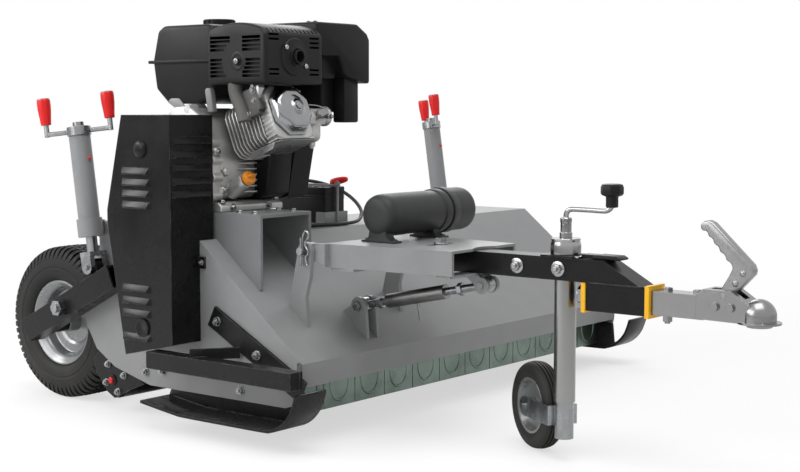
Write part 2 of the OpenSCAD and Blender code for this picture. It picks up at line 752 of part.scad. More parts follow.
module arm_bolts() {
    color("silver") {
        translate([pvx, yd, strap_top - 6 - pass_gap - 10]) cylinder(h = 10, r = 15, $fn = 6);
        translate([pvx, yd, strap_top - 12]) cylinder(h = box_top - strap_top + 12 + 4, r = arm_bolt_r);
        translate([pvx, yd, box_top + pass_gap]) cylinder(h = 8, r = 15, $fn = 6);
        translate([clx, yd, arm_z0 - 10]) cylinder(h = 10, r = 15, $fn = 6);
        translate([clx, yd, arm_z0 - 4]) cylinder(h = box_top - arm_z0 + 8, r = arm_bolt_r);
        translate([clx, yd, box_top + pass_gap]) cylinder(h = 3, r = 18);
        translate([clx, yd, box_top + pass_gap + 3]) cylinder(h = 12, r = 15, $fn = 6);
        ycyl([455, arm_mid], yd - arm_w / 2 - 4, arm_w + 8, 6);
        hex_y([455, arm_mid], yd + arm_w / 2, 8, 10);
        for (x = [455, 562]) bolt_head([x, arm_mid], yd - arm_w / 2, 7);
    }
}
module bush_plates() {
    color("yellow") for (x = [cpl_x0 - 10, cpl_x1]) difference() {
        translate([x, yd - 34, cpl_z - 34]) cube([10, 68, x < cpl_x0 ? 64 - pass_gap : 68]);
        xcyl(x - 1, yd, cpl_z, 12, roll_shaft_r + run_gap);
    }
}
module coupler_head() {
    color("silver") difference() {
        union() {
            xcyl(cpl_x0 - 30, yd, cpl_z, 200, roll_shaft_r);
            translate([cpl_x0 - 26, yd, cpl_z]) rotate([0, 90, 0]) cylinder(h = 16 - pass_gap, r = 26, $fn = 6);
            translate([cpl_x1 + 10 + pass_gap, yd - 25, cpl_z - 26]) cube([120, 50, 50]);
            slab(yd - 29, 58) polygon([[890, 348], [890, 398], [905, 410], [966, 410], [ball_x - 16, 388],
                [ball_x + 14, 370], [ball_x + 24, 346]]);
            translate([ball_x, yd, 346]) cylinder(h = 16, r = 34);
            translate([ball_x, yd, 362]) sphere(r = 34);
            translate([ball_x, yd, 346]) cylinder(h = 4, r = 44);
            for (x = [812, 880]) {
                translate([x, yd, cpl_z - 44]) cylinder(h = 76, r = 6);
                translate([x, yd, cpl_z - 40]) cylinder(h = 15, r = 11, $fn = 6);
                translate([x, yd, cpl_z + 23]) cylinder(h = 8, r = 11, $fn = 6);
            }
            for (x = [932, 966]) ycyl([x, 376], yd - 35, 70, 9);
        }
        translate([ball_x, yd, 300]) cylinder(h = 62, r = socket_r);
        translate([ball_x, yd, 362]) sphere(r = socket_r);
        translate([896, yd - 24, 330]) cube([94, 48, 30]);
        translate([914, yd - 12, 378]) cube([76, 24, 60]);
        ycyl(grip_pin, yd - 40, 80, 6 + run_gap);
        translate([840, yd - 21, 320]) cube([52, 42, 30]);
    }
}
module coupler_handle() {
    color("silver") {
        slab(yd - 11.5, 23) polygon([[934, 390], [964, 390], [974, 410], [1006, 444], [1004, 462],
            [912, 546], [894, 546], [888, 530], [902, 524], [960, 456], [950, 436], [936, 412]]);
        ycyl(grip_pin, yd - 29, 58, 6);
    }
}

module jockey_tube() {
    color("gray") {
        difference() {
            union() {
                translate([jkx, yd, jk_low]) cylinder(h = 470 - jk_low, r = jockey_r);
                translate([jkx, yd, arm_top + 5.3]) cylinder(h = 34, r = 31);
            }
            translate([jkx, yd, 100]) cylinder(h = 340, r = jockey_r - jockey_wall);
            translate([jkx, yd, 400]) cylinder(h = 200, r = 9 + run_gap);
        }
    }
}
module jockey_nut() {
    color("gold") difference() {
        translate([jkx, yd, 300]) cylinder(h = 30, r = leg_in - run_gap);
        translate([jkx, yd, 290]) cylinder(h = 50, r = 9 + run_gap);
    }
}
module jockey_leg() {
    color("silver") {
        difference() {
            translate([jkx, yd, 50]) cylinder(h = 300, r = leg_r);
            translate([jkx, yd, 140]) cylinder(h = 300, r = leg_in);
        }
        difference() {
            translate([jkx, yd, 296]) cylinder(h = 4 - pass_gap, r = leg_r - 1);
            translate([jkx, yd, 290]) cylinder(h = 20, r = 11);
        }
        difference() {
            translate([jkx, yd, 330 + pass_gap]) cylinder(h = 4, r = leg_r - 1);
            translate([jkx, yd, 320]) cylinder(h = 30, r = 11);
        }
        translate([jkx, yd, 0]) rotate(jk_turn) {
            for (s = [-1, 1]) {
                translate([8, s * 33 - 3, 78]) cube([jk_trail - 8, 6, 44]);
                translate([jk_trail, s * 33 + 3, 100]) rotate([90, 0, 0]) cylinder(h = 6, r = 22);
            }
            translate([8, -36, 78]) cube([14, 72, 44]);
            translate([jk_trail, 42, 100]) rotate([90, 0, 0]) cylinder(h = 84, r = 8);
        }
    }
}
module jockey_wheel_at() {
    translate([jkx, yd, 100]) rotate(jk_turn) translate([jk_trail, 0, 0]) rotate([90, 0, 0]) children();
}
module jockey_rim() {
    color("silver") jockey_wheel_at() rotate_extrude() polygon([[8 + run_gap, -29], [20, -29], [20, -8],
        [52, -8], [58, -22], [64, -22], [64, 22], [58, 22], [52, 8], [20, 8], [20, 29], [8 + run_gap, 29]]);
}
module jockey_tyre() {
    w = jockey_tyre_w / 2;
    color("black") jockey_wheel_at() rotate_extrude() polygon([[64, -w + 3], [80, -w],
        [jockey_tyre_r - 10, -w + 2], [jockey_tyre_r - 2, -w + 10], [jockey_tyre_r, -w + 18],
        [jockey_tyre_r, w - 18], [jockey_tyre_r - 2, w - 10], [jockey_tyre_r - 10, w - 2], [80, w],
        [64, w - 3]]);
}
module jockey_crank() {
    color("silver") {
        translate([jkx, yd, 160]) cylinder(h = 390, r = 9);
        translate([jkx, yd, arm_top + 39.3 + pass_gap]) cylinder(h = 46, r = 14);
        translate([jkx, yd, 548]) rotate([0, 68, 0]) cylinder(h = 24, r = 6);
        xcyl(jkx + 18, yd, 556, 96, 6);
        translate([jkx + 114, yd, 550]) cylinder(h = 30, r = 6);
    }
}
module jockey_knob() {
    color("black") difference() {
        union() {
            translate([jkx + 114, yd, 562.3]) cylinder(h = 26, r = 14);
            translate([jkx + 114, yd, 588]) cylinder(h = 26, r = 25);
        }
        translate([jkx + 114, yd, 550]) cylinder(h = 30.3, r = 6 + run_gap);
    }
}

module on_rod() {
    translate([tb_e[0], yd, tb_e[1]]) rotate([0, -tb_a, 0]) children();
}
module turnbuckle_rear() {
    color("silver") on_rod() {
        difference() {
            rotate([90, 0, 0]) translate([0, 0, -14]) cylinder(h = 28, r = 19);
            rotate([90, 0, 0]) translate([0, 0, -20]) cylinder(h = 40, r = rod_pin_r + run_gap);
        }
        translate([15, 0, 0]) rotate([0, 90, 0]) cylinder(h = 110, r = rod_r);
        translate([48, 0, 0]) rotate([0, 90, 0]) cylinder(h = 12, r = 15, $fn = 6);
    }
}
module turnbuckle_sleeve() {
    color("gray") on_rod() {
        difference() {
            translate([78, 0, 0]) rotate([0, 90, 0]) cylinder(h = 176, r = 17);
            translate([70, 0, 0]) rotate([0, 90, 0]) cylinder(h = 200, r = rod_r + run_gap);
        }
        translate([166, 0, -58]) cylinder(h = 43, r = 4);
    }
}
module turnbuckle_front() {
    color("silver") on_rod() {
        difference() {
            translate([tb_len, 0, 0]) rotate([90, 0, 0]) translate([0, 0, -13]) cylinder(h = 26, r = 17);
            translate([tb_len, 0, 0]) rotate([90, 0, 0]) translate([0, 0, -20])
                cylinder(h = 40, r = rod_pin_r + rod_play);
        }
        translate([210, 0, 0]) rotate([0, 90, 0]) cylinder(h = tb_len - 210 - 14, r = rod_r);
        translate([tb_len - 80, 0, 0]) rotate([0, 90, 0]) cylinder(h = 12, r = 15, $fn = 6);
    }
}

module lever_at() {
    translate([axl[0], -lever_in - lever_w, axl[1]]) rotate([0, -lever_a, 0]) children();
}
module wheel_lever() {
    h = lever_h / 2;
    difference() {
        union() {
            lever_at() difference() {
                translate([-30, 0, -h]) cube([lever_back + 240, lever_w, lever_h]);
                translate([lever_back + 60, 5, -h + 5]) cube([300, lever_w - 10, lever_h - 10]);
            }
            slab(-lever_y - 12, 24) union() {
                translate(clv) circle(r = 20);
                polygon([clv + [-20, 0], clv + [20, 0], clv + [28, -50], clv + [-34, -78]]);
            }
            ycyl(piv, -lever_in - 1, lever_in - side_y + 1 - pass_gap, 28);
            ycyl(axl, -lever_in - 4, lever_in - tyre_out + 122, axle_r);
            ycyl(axl, -lever_in - 1, lever_in - tyre_out + 26, 24);
            ycyl(axl, -tyre_out + 106 + pass_gap, 12, 20);
        }
        ycyl(piv, -lever_in - lever_w - 1, lever_w + 20, pivot_r + run_gap);
        ycyl(clv, -lever_y - 20, 40, fork_pin_r + lug_play);
    }
}
module wheel_lever_right() {
    color("black") wheel_lever();
}
module wheel_lever_left() {
    color("black") left() wheel_lever();
}
// wheel frame: axis along Z, outer face at height zero, inboard upwards
module wheel_at() {
    translate([axl[0], -tyre_out, axl[1]]) rotate([-90, 0, 0]) children();
}
module wheel_rim() {
    wheel_at() rotate_extrude() polygon([[axle_r + run_gap, 26], [26, 26], [26, 66], [rim_r - 26, 60],
        [rim_r - 26, 30], [rim_r - 16, 22], [rim_r - 4, 12], [rim_r, 12], [rim_r, 18], [bead_r, 24],
        [bead_r, tyre_w - 24], [rim_r, tyre_w - 18], [rim_r, tyre_w - 12], [rim_r - 4, tyre_w - 12],
        [rim_r - 22, tyre_w - 24], [rim_r - 22, 66], [30, 72], [26, 106], [axle_r + run_gap, 106]]);
}
module wheel_rim_right() {
    color("silver") wheel_rim();
}
module wheel_rim_left() {
    color("silver") left() wheel_rim();
}
module wheel_tyre() {
    r = tyre_r;
    w = tyre_w;
    wheel_at() rotate_extrude() polygon([[bead_r, 24], [rim_r, 18], [rim_r + 6, 8], [rim_r + 24, 0],
        [rim_r + 50, 1], [r - 16, 9], [r - 5, 18], [r - 1, 34], [r, 54], [r, w - 54], [r - 1, w - 34],
        [r - 5, w - 18], [r - 16, w - 9], [rim_r + 50, w - 1], [rim_r + 24, w], [rim_r + 6, w - 8],
        [rim_r, w - 18], [bead_r, w - 24], [bead_r, w - 36], [rim_r + 8, w - 24], [rim_r + 26, w - 12],
        [r - 22, w - 18], [r - 14, w - 36], [r - 13, w / 2], [r - 14, 36], [r - 22, 18],
        [rim_r + 26, 12], [rim_r + 8, 24], [bead_r, 36]]);
}
module wheel_tyre_right() {
    color("black") wheel_tyre();
}
module wheel_tyre_left() {
    color("black") left() wheel_tyre();
}

// jack frame: origin on the trunnion, Z up along the tube
module jack_at() {
    translate([trn[0], -lever_y, trn[1]]) rotate([0, jack_lean, 0]) children();
}
module jack_tube() {
    difference() {
        union() {
            jack_at() translate([0, 0, -18]) cylinder(h = 46, r = jack_r + 5);
            jack_at() translate([0, 0, 26]) cylinder(h = 212, r = jack_r);
            ycyl(trn, -lever_y, lever_y - in_y + 6, trunnion_r);
        }
        jack_at() translate([0, 0, -30]) cylinder(h = 300, r = jack_rod_r + run_gap);
    }
}
module jack_tube_right() {
    color("gray") jack_tube();
}
module jack_tube_left() {
    color("gray") left() jack_tube();
}
module jack_screw() {
    jack_at() {
        translate([0, 0, -jack_len + 30]) cylinder(h = 230, r = jack_rod_r);
        translate([-20, -26, -jack_len + 26]) cube([40, 52, 12]);
        for (s = [-1, 1]) {
            translate([-18, s * 19.3 - 7, -jack_len]) cube([36, 14, 30]);
            translate([0, s * 19.3 + 7, -jack_len]) rotate([90, 0, 0]) cylinder(h = 14, r = 18);
        }
        translate([0, 32, -jack_len]) rotate([90, 0, 0]) cylinder(h = 64, r = fork_pin_r);
    }
}
module jack_screw_right() {
    color("silver") jack_screw();
}
module jack_screw_left() {
    color("silver") left() jack_screw();
}
module jack_crank(a) {
    jack_at() translate([0, 0, 238 + pass_gap]) {
        cylinder(h = 22, r = jack_r + 3);
        translate([0, 0, 20]) cylinder(h = 14, r = 14);
        translate([0, 0, -38]) cylinder(h = 40, r = jack_rod_r - 1);
        rotate(a) for (s = [-1, 1]) {
            translate([s > 0 ? 20 : -crank_reach, 0, 11]) rotate([0, 90, 0])
                cylinder(h = crank_reach - 20, r = 6);
            translate([s * crank_reach, 0, 4.4]) cylinder(h = 40.6, r = 6.5);
            translate([s * crank_reach, 0, 36]) cylinder(h = 36, r1 = 12, r2 = 16);
            translate([s * crank_reach, 0, 72]) cylinder(h = 30, r = 16);
        }
    }
}
module jack_crank_right() {
    color("silver") jack_crank(38);
}
module jack_crank_left() {
    color("silver") left() jack_crank(40);
}

deck_hood();
engine_stand();
skids();
side_bumper();
belt_guard();
deck_bolts();
crankcase();
cylinder_part();  // cylinder
valve_cover();
exhaust();
muffler_guard();
fuel_tank();
fuel_cap();
air_filter();
carburettor();
oil_dipstick();
blower_housing();
battery();
battery_tray();
terminal_boot();
battery_cable();
roller_plates();
hinge_pins();
drive_belt();
engine_pulley();
rotor();
hammers_a();
hammers_b();
rear_roller();
front_flaps();
drawbar_frame();
document_tube();
document_cap();
drawbar_arm();
arm_bolts();
bush_plates();
coupler_head();
coupler_handle();
jockey_tube();
jockey_nut();
jockey_leg();
jockey_rim();
jockey_tyre();
jockey_crank();
jockey_knob();
turnbuckle_rear();
turnbuckle_sleeve();
turnbuckle_front();
wheel_lever_right();
wheel_lever_left();
wheel_rim_right();
wheel_rim_left();
wheel_tyre_right();
wheel_tyre_left();
jack_tube_right();
jack_tube_left();
jack_screw_right();
jack_screw_left();
jack_crank_right();
jack_crank_left();
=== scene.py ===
# %% [markdown]
# # A towed flail mower, dressed in Blender
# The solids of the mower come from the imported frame, in metres, and already stand where they belong. This
# lesson lights them, gives every solid a finish, and then models the pieces whose shape matters most to the
# eye: tyres with tread, pressed flaps, the castings of the engine, soft grips and the battery cable.

# %% Load the frame
import json
import math

import bpy
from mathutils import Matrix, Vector

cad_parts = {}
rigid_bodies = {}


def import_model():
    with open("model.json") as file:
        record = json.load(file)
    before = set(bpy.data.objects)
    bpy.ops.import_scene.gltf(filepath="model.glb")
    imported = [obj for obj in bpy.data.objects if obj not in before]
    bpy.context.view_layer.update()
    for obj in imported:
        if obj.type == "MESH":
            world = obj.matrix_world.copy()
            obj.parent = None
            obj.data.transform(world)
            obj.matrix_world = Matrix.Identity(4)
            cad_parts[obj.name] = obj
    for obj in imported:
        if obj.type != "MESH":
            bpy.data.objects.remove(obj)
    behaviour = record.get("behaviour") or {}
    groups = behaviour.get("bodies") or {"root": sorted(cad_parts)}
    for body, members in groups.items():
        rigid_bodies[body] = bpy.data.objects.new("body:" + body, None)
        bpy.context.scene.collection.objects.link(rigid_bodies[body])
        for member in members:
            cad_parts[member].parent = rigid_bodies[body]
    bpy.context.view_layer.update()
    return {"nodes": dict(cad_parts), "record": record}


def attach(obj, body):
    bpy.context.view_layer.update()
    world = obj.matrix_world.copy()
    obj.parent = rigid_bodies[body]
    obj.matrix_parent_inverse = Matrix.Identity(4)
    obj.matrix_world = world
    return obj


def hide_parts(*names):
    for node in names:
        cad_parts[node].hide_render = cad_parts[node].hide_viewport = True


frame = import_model()
nodes = frame["nodes"]
scene = bpy.context.scene
scene.view_settings.view_transform = "Standard"

# %% [markdown]
# The camera stands low at the right front corner, a little above the coupler, and looks down by about five
# degrees. Its focal length and place were worked out from the wheels, the drawbar and the deck edges, so the
# solids land on the same spots of the picture as on the real machine.

# %% Camera
look_down, look_round = 5.121, 38.6486
camera_data = bpy.data.cameras.new("camera")
camera_data.sensor_width = 36.0
camera_data.lens = 65.49
camera = bpy.data.objects.new("camera", camera_data)
camera.location = (2.2499, -3.0989, 0.779)
camera.rotation_euler = (math.radians(90 - look_down), 0, math.radians(look_round))
scene.collection.objects.link(camera)
scene.camera = camera
print("camera lens", camera_data.lens)

# %% [markdown]
# The battery cable is the one free cord. It leaves the wall of the engine stand, drops to the deck, swings
# round the front of the battery and climbs behind it to the terminal post. A curve with a round profile
# keeps one thickness all the way, and a smooth path through listed points gives the lazy bends of a stiff
# cable. Most places on the machine are given in millimetres, as on a workshop drawing, and one helper turns
# them into metres.

# %% Battery cable
deck_top, cable_radius = 458, 5
cable_points = [(-345, -461.8, 28), (-345, -428, 28), (-344, -394, 23), (-341, -358, 14), (-336, -320, 8),
                (-328, -280, 6), (-317, -238, 6), (-304, -196, 6), (-297, -154, 6), (-297, -118, 7),
                (-305, -87, 10), (-320, -57, 18), (-345, -27, 33), (-384, -5, 54), (-425, -1, 76),
                (-461, -17, 94), (-487, -46, 106), (-499, -82, 112), (-500, -117.6, 112)]


def mm(*values):
    return Vector(values) / 1000


def smooth_path(points, steps):
    """A smooth line through all the points, in a number of steps from each point to the next."""
    path = []
    for i in range(len(points) - 1):
        a, b = points[max(i - 1, 0)], points[i]
        c, d = points[i + 1], points[min(i + 2, len(points) - 1)]
        for k in range(steps):
            t = k / steps
            path.append(0.5 * (2 * b + (c - a) * t + (2 * a - 5 * b + 4 * c - d) * t * t
                               + (3 * b - a - 3 * c + d) * t ** 3))
    return path + [points[-1]]


def round_cord(name, path, radius, sides):
    """A curve with a round profile along a path in metres; the radius is in millimetres."""
    curve = bpy.data.curves.new(name, "CURVE")
    curve.dimensions = "3D"
    curve.bevel_depth = 1.0
    curve.bevel_resolution = sides
    curve.use_fill_caps = True
    line = curve.splines.new("POLY")
    line.points.add(len(path) - 1)
    for point, place in zip(line.points, path):
        point.co = (*place, 1)
        point.radius = radius / 1000
    cord = bpy.data.objects.new(name, curve)
    scene.collection.objects.link(cord)
    return cord


cable_path = smooth_path([mm(x, y, deck_top + z) for x, y, z in cable_points], 6)
battery_lead = round_cord("battery_lead", cable_path, cable_radius, 4)
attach(battery_lead, "deck")
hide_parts("battery_cable")

# %% [markdown]
# A plain pale floor gives a studio look. To the camera it glows a little, more with the distance from the
# machine, so that it fades to white while the shadow of the machine stays. Two helpers set up shader nodes
# in one line.

# %% Floor
def add_node(tree, kind, operation=None, **values):
    """A shader node with its values set; an underscore in a label stands for a space."""
    node = tree.nodes.new("ShaderNode" + kind)
    if operation:
        node.operation = operation
    for label, value in values.items():
        node.inputs[label.replace("_", " ")].default_value = value
    return node


def math_node(tree, operation, a, b, clamp=False):
    """The outcome of one sum on two values, each a number or the output of a node."""
    node = add_node(tree, "Math", operation)
    node.use_clamp = clamp
    for value, socket in zip((a, b), node.inputs):
        if isinstance(value, (int, float)):
            socket.default_value = value
        else:
            tree.links.new(value, socket)
    return node.outputs[0]


floor_size, floor_level = 60, -0.001
shadow_near, shadow_far = 0.6, 3.6
glow_near, glow_far = 0.62, 1.0
bpy.ops.object.select_all(action="DESELECT")
bpy.ops.mesh.primitive_plane_add(size=floor_size, location=(0, 0, floor_level))
floor = bpy.context.object
floor.name = "studio_floor"
floor_paint = bpy.data.materials.new("studio_floor")
floor_paint.use_nodes = True
tree = floor_paint.node_tree
link = tree.links.new
shader = tree.nodes["Principled BSDF"]
shader.inputs["Base Color"].default_value = (0.9, 0.9, 0.9, 1)
shader.inputs["Roughness"].default_value = 0.9
glow = add_node(tree, "Emission", Strength=1.0)
rays = add_node(tree, "LightPath")
spot = add_node(tree, "TexCoord")
distance = add_node(tree, "VectorMath", "LENGTH")
fade = add_node(tree, "MapRange", From_Min=shadow_near, From_Max=shadow_far, To_Min=glow_near,
                To_Max=glow_far)
fade.interpolation_type = "SMOOTHSTEP"
blend = add_node(tree, "MixShader")
link(spot.outputs["Object"], distance.inputs[0])
link(distance.outputs["Value"], fade.inputs["Value"])
link(math_node(tree, "MULTIPLY", rays.outputs["Is Camera Ray"], fade.outputs[0]), blend.inputs[0])
link(shader.outputs[0], blend.inputs[1])
link(glow.outputs[0], blend.inputs[2])
link(blend.outputs[0], tree.nodes["Material Output"].inputs[0])
floor.data.materials.append(floor_paint)
print("floor", floor.name)

# %% [markdown]
# The world is white to the camera, in reflections and through glass. As a light it is weaker, so that large
# lamps do the shaping.

# %% World
world_light = 0.42
world = bpy.data.worlds.new("studio")
scene.world = world
world.use_nodes = True
tree = world.node_tree
sky = tree.nodes["Background"]
sky.inputs["Color"].default_value = (1, 1, 1, 1)
rays = add_node(tree, "LightPath")
white = rays.outputs["Is Camera Ray"]
for ray in ("Is Glossy Ray", "Is Transmission Ray"):
    white = math_node(tree, "MAXIMUM", white, rays.outputs[ray])
level = add_node(tree, "MapRange", To_Min=world_light, To_Max=1.0)
tree.links.new(white, level.inputs["Value"])
tree.links.new(level.outputs[0], sky.inputs["Strength"])
print("world light", world_light)

# %% [markdown]
# Four large area lamps act like softboxes: one high over the front, one from the left of the camera for the
# side plates, a weak one from behind that draws the top edges, and a smaller one high on the left that
# catches the louvres.

# %% Lamps
def softbox(name, place, target, size, power):
    lamp_data = bpy.data.lights.new(name, "AREA")
    lamp_data.shape = "SQUARE"
    lamp_data.size = size
    lamp_data.energy = power
    lamp = bpy.data.objects.new(name, lamp_data)
    lamp.location = place
    lamp.rotation_euler = (Vector(target) - Vector(place)).to_track_quat("-Z", "Y").to_euler()
    scene.collection.objects.link(lamp)


softbox("softbox_top", (0.9, -1.2, 4.2), (0, 0, 0.3), 3.2, 120)
softbox("softbox_side", (-1.6, -4.2, 2.2), (-0.2, -0.4, 0.4), 2.4, 70)
softbox("softbox_back", (-2.5, 3.2, 3.0), (0, 0, 0.4), 2.5, 50)
softbox("softbox_left", (-3.4, -2.8, 2.4), (-0.4, -0.8, 0.5), 1.5, 60)

# %% [markdown]
# Real finishes are never one flat colour. Four small shader groups are shared by the materials: an uneven
# coat that varies shade and height, an edge mask that finds sharp corners and lightens them, partly as wear
# and partly as a painted highlight, dust that settles low on the machine, and fine scratches. Each group has
# named inputs, so a material only sets its own values.

# %% Uneven coat, and edge wear and highlight
def start_group(name, outputs, **values):
    """An empty group with a Vector input, an input for every value, and its outputs."""
    group = bpy.data.node_groups.new(name, "ShaderNodeTree")
    group.interface.new_socket("Vector", in_out="INPUT", socket_type="NodeSocketVector")
    for label, value in values.items():
        socket = group.interface.new_socket(label, in_out="INPUT", socket_type="NodeSocketFloat")
        socket.default_value = value
    for label in outputs:
        group.interface.new_socket(label, in_out="OUTPUT", socket_type="NodeSocketFloat")
    return group, group.nodes.new("NodeGroupInput").outputs, group.nodes.new("NodeGroupOutput").inputs


uneven_coat, given, result = start_group("Uneven coat", ["Shade", "Height"], Scale=9.0, Grain=300.0)
link = uneven_coat.links.new
cloud = add_node(uneven_coat, "TexNoise", Detail=6, Roughness=0.6)
spread = add_node(uneven_coat, "MapRange", From_Min=0.32, From_Max=0.68)
peel = add_node(uneven_coat, "TexNoise", Detail=2)
for noise, label in ((cloud, "Scale"), (peel, "Grain")):
    link(given["Vector"], noise.inputs["Vector"])
    link(given[label], noise.inputs["Scale"])
link(cloud.outputs["Fac"], spread.inputs["Value"])
link(spread.outputs[0], result["Shade"])
link(peel.outputs["Fac"], result["Height"])

# The edge mask lightens sharp corners: wear on most finishes, and on black paint mostly a painted highlight.
edge_wear_and_highlight, given, result = start_group("Edge wear and highlight", ["Mask"], Radius=0.003, Patches=30.0)
link = edge_wear_and_highlight.links.new
round_off = add_node(edge_wear_and_highlight, "Bevel")
round_off.samples = 4
surface = add_node(edge_wear_and_highlight, "NewGeometry")
facing = add_node(edge_wear_and_highlight, "VectorMath", "DOT_PRODUCT")
patches = add_node(edge_wear_and_highlight, "TexNoise", Detail=5)
link(given["Radius"], round_off.inputs["Radius"])
link(round_off.outputs[0], facing.inputs[0])
link(surface.outputs["Normal"], facing.inputs[1])
link(given["Vector"], patches.inputs["Vector"])
link(given["Patches"], patches.inputs["Scale"])
corner = math_node(edge_wear_and_highlight, "SUBTRACT", 1.0, facing.outputs["Value"])
corner = math_node(edge_wear_and_highlight, "MULTIPLY", corner, 5.0)
patch = math_node(edge_wear_and_highlight, "SUBTRACT", patches.outputs["Fac"], 0.4)
patch = math_node(edge_wear_and_highlight, "MULTIPLY", patch, 4.0, True)
link(math_node(edge_wear_and_highlight, "MULTIPLY", corner, patch, True), result["Mask"])
print("groups:", [group.name for group in bpy.data.node_groups])

# %% [markdown]
# Dust fades out with the height above the ground, and a cloudy noise breaks it up. Scratches are a noise
# that is stretched in one direction.

# %% Dust and scratches
ground_dust, given, result = start_group("Ground dust", ["Mask"], Top=0.35)
link = ground_dust.links.new
split = add_node(ground_dust, "SeparateXYZ")
haze = add_node(ground_dust, "TexNoise", Scale=14, Detail=8)
link(given["Vector"], split.inputs[0])
link(given["Vector"], haze.inputs["Vector"])
high = math_node(ground_dust, "DIVIDE", split.outputs["Z"], given["Top"])
low = math_node(ground_dust, "SUBTRACT", 1.0, high, True)
link(math_node(ground_dust, "MULTIPLY", low, haze.outputs["Fac"], True), result["Mask"])

fine_scratches, given, result = start_group("Fine scratches", ["Height"], Scale=60.0)
link = fine_scratches.links.new
stretch = add_node(fine_scratches, "VectorMath", "MULTIPLY")
stretch.inputs[1].default_value = (1.0, 1.0, 14.0)
strokes = add_node(fine_scratches, "TexNoise", Detail=4)
link(given["Vector"], stretch.inputs[0])
link(stretch.outputs[0], strokes.inputs["Vector"])
link(given["Scale"], strokes.inputs["Scale"])
link(strokes.outputs["Fac"], result["Height"])
print("groups:", [group.name for group in bpy.data.node_groups])

# %% [markdown]
# One recipe makes all the hard finishes. It mixes two close shades by the uneven coat, lets a second colour
# show on sharp edges as wear and, for black paint, as a painted highlight, dusts the lower parts, moves the
# roughness with the shade and rounds sharp edges a little in the light.

# %% The finish recipe
finishes = {}
dust_colour = (0.3, 0.28, 0.25)
rough_swing = 0.07


def place_group(tree, group, coords, **values):
    """The outputs of a group that is placed in a material with its own values."""
    node = tree.nodes.new("ShaderNodeGroup")
    node.node_tree = group
    tree.links.new(coords, node.inputs["Vector"])
    for label, value in values.items():
        node.inputs[label].default_value = value
    return node.outputs


def mix_colour(tree, factor, a, b):
    """Two colours mixed by an output; each colour is three numbers or the output of a node."""
    node = add_node(tree, "Mix")
    node.data_type = "RGBA"
    tree.links.new(factor, node.inputs["Factor"])
    for value, socket in ((a, node.inputs["A"]), (b, node.inputs["B"])):
        if isinstance(value, tuple):
            socket.default_value = (*value, 1)
        else:
            tree.links.new(value, socket)
    return node.outputs["Result"]


def finish(name, colour, rough, metal=0.0, vary=0.12, scale=9.0, grain=300.0, bump=0.05, wear_and_highlight=None,
           wear_and_highlight_amount=0.5, dust=0.0, scratch=0.0, coat=0.0, soft_edge=0.0015, shine=0.5):
    """A material, kept by its name in finishes."""
    material = bpy.data.materials.new(name)
    material.use_nodes = True
    tree = material.node_tree
    link = tree.links.new
    shader = tree.nodes["Principled BSDF"].inputs
    coords = add_node(tree, "TexCoord").outputs["Object"]
    skin = place_group(tree, uneven_coat, coords, Scale=scale, Grain=grain)
    darker = tuple(c * (1 - vary) for c in colour)
    lighter = tuple(min(1.0, c * (1 + vary)) for c in colour)
    shade = mix_colour(tree, skin["Shade"], darker, lighter)
    # Sharp edges take the second colour: wear, and on black paint a painted highlight.
    if wear_and_highlight:
        edge = place_group(tree, edge_wear_and_highlight, coords)
        shade = mix_colour(tree, math_node(tree, "MULTIPLY", edge["Mask"], wear_and_highlight_amount), shade, wear_and_highlight)
    if dust:
        low = place_group(tree, ground_dust, coords)
        shade = mix_colour(tree, math_node(tree, "MULTIPLY", low["Mask"], dust), shade, dust_colour)
    link(shade, shader["Base Color"])
    gloss = add_node(tree, "MapRange", To_Min=max(0.04, rough - rough_swing), To_Max=min(1.0,
                                                                                         rough + rough_swing))
    link(skin["Shade"], gloss.inputs["Value"])
    link(gloss.outputs[0], shader["Roughness"])
    shader["Metallic"].default_value = metal
    shader["Specular IOR Level"].default_value = shine
    shader["Coat Weight"].default_value = coat
    height = skin["Height"]
    if scratch:
        lines = place_group(tree, fine_scratches, coords)
        height = math_node(tree, "ADD", height, math_node(tree, "MULTIPLY", lines["Height"], scratch))
    relief = add_node(tree, "Bump", Strength=bump, Distance=0.001)
    link(height, relief.inputs["Height"])
    if soft_edge:
        rounding = add_node(tree, "Bevel", Radius=soft_edge)
        rounding.samples = 4
        link(rounding.outputs[0], relief.inputs["Normal"])
    link(relief.outputs[0], shader["Normal"])
    finishes[name] = material


print("recipe ready")

# %% [markdown]
# Every finish is one call: its colour and roughness first, then what makes it special. Paint wears to a
# lighter edge, and on black paint that lighter edge is mostly a painted highlight; metal mirrors the room,
# castings are grainy, and rubber and plastic stay dark and soft.

# %% Finishes
finish("gray_paint", (0.23, 0.233, 0.237), 0.36, vary=0.06, wear_and_highlight=(0.36, 0.36, 0.37), dust=0.25, coat=0.05,
       shine=0.25)
finish("dark_gray_paint", (0.2, 0.203, 0.207), 0.36, vary=0.06, wear_and_highlight=(0.34, 0.34, 0.35), coat=0.05,
       shine=0.25)
# The light grey edge colour of black paint is a painted highlight along its edges, broken up like wear.
finish("black_paint", (0.0065, 0.0065, 0.007), 0.27, vary=0.2, wear_and_highlight=(0.13, 0.13, 0.13), wear_and_highlight_amount=0.7,
       dust=0.04, shine=0.17)
finish("zinc_steel", (0.28, 0.288, 0.295), 0.28, metal=1.0, vary=0.16, scale=25, bump=0.06, scratch=0.6)
finish("flap_zinc", (0.155, 0.2, 0.174), 0.3, metal=1.0, vary=0.25, scale=14, bump=0.06, scratch=0.6)
finish("bright_steel", (0.31, 0.31, 0.31), 0.17, metal=1.0, vary=0.08, scale=30, bump=0.03, scratch=0.4)
finish("pressed_zinc", (0.24, 0.24, 0.24), 0.26, metal=1.0, vary=0.05, scale=12, bump=0.02, scratch=0.2)
finish("drawn_tube", (0.265, 0.265, 0.26), 0.22, metal=1.0, vary=0.05, scale=10, bump=0.02, scratch=0.3)
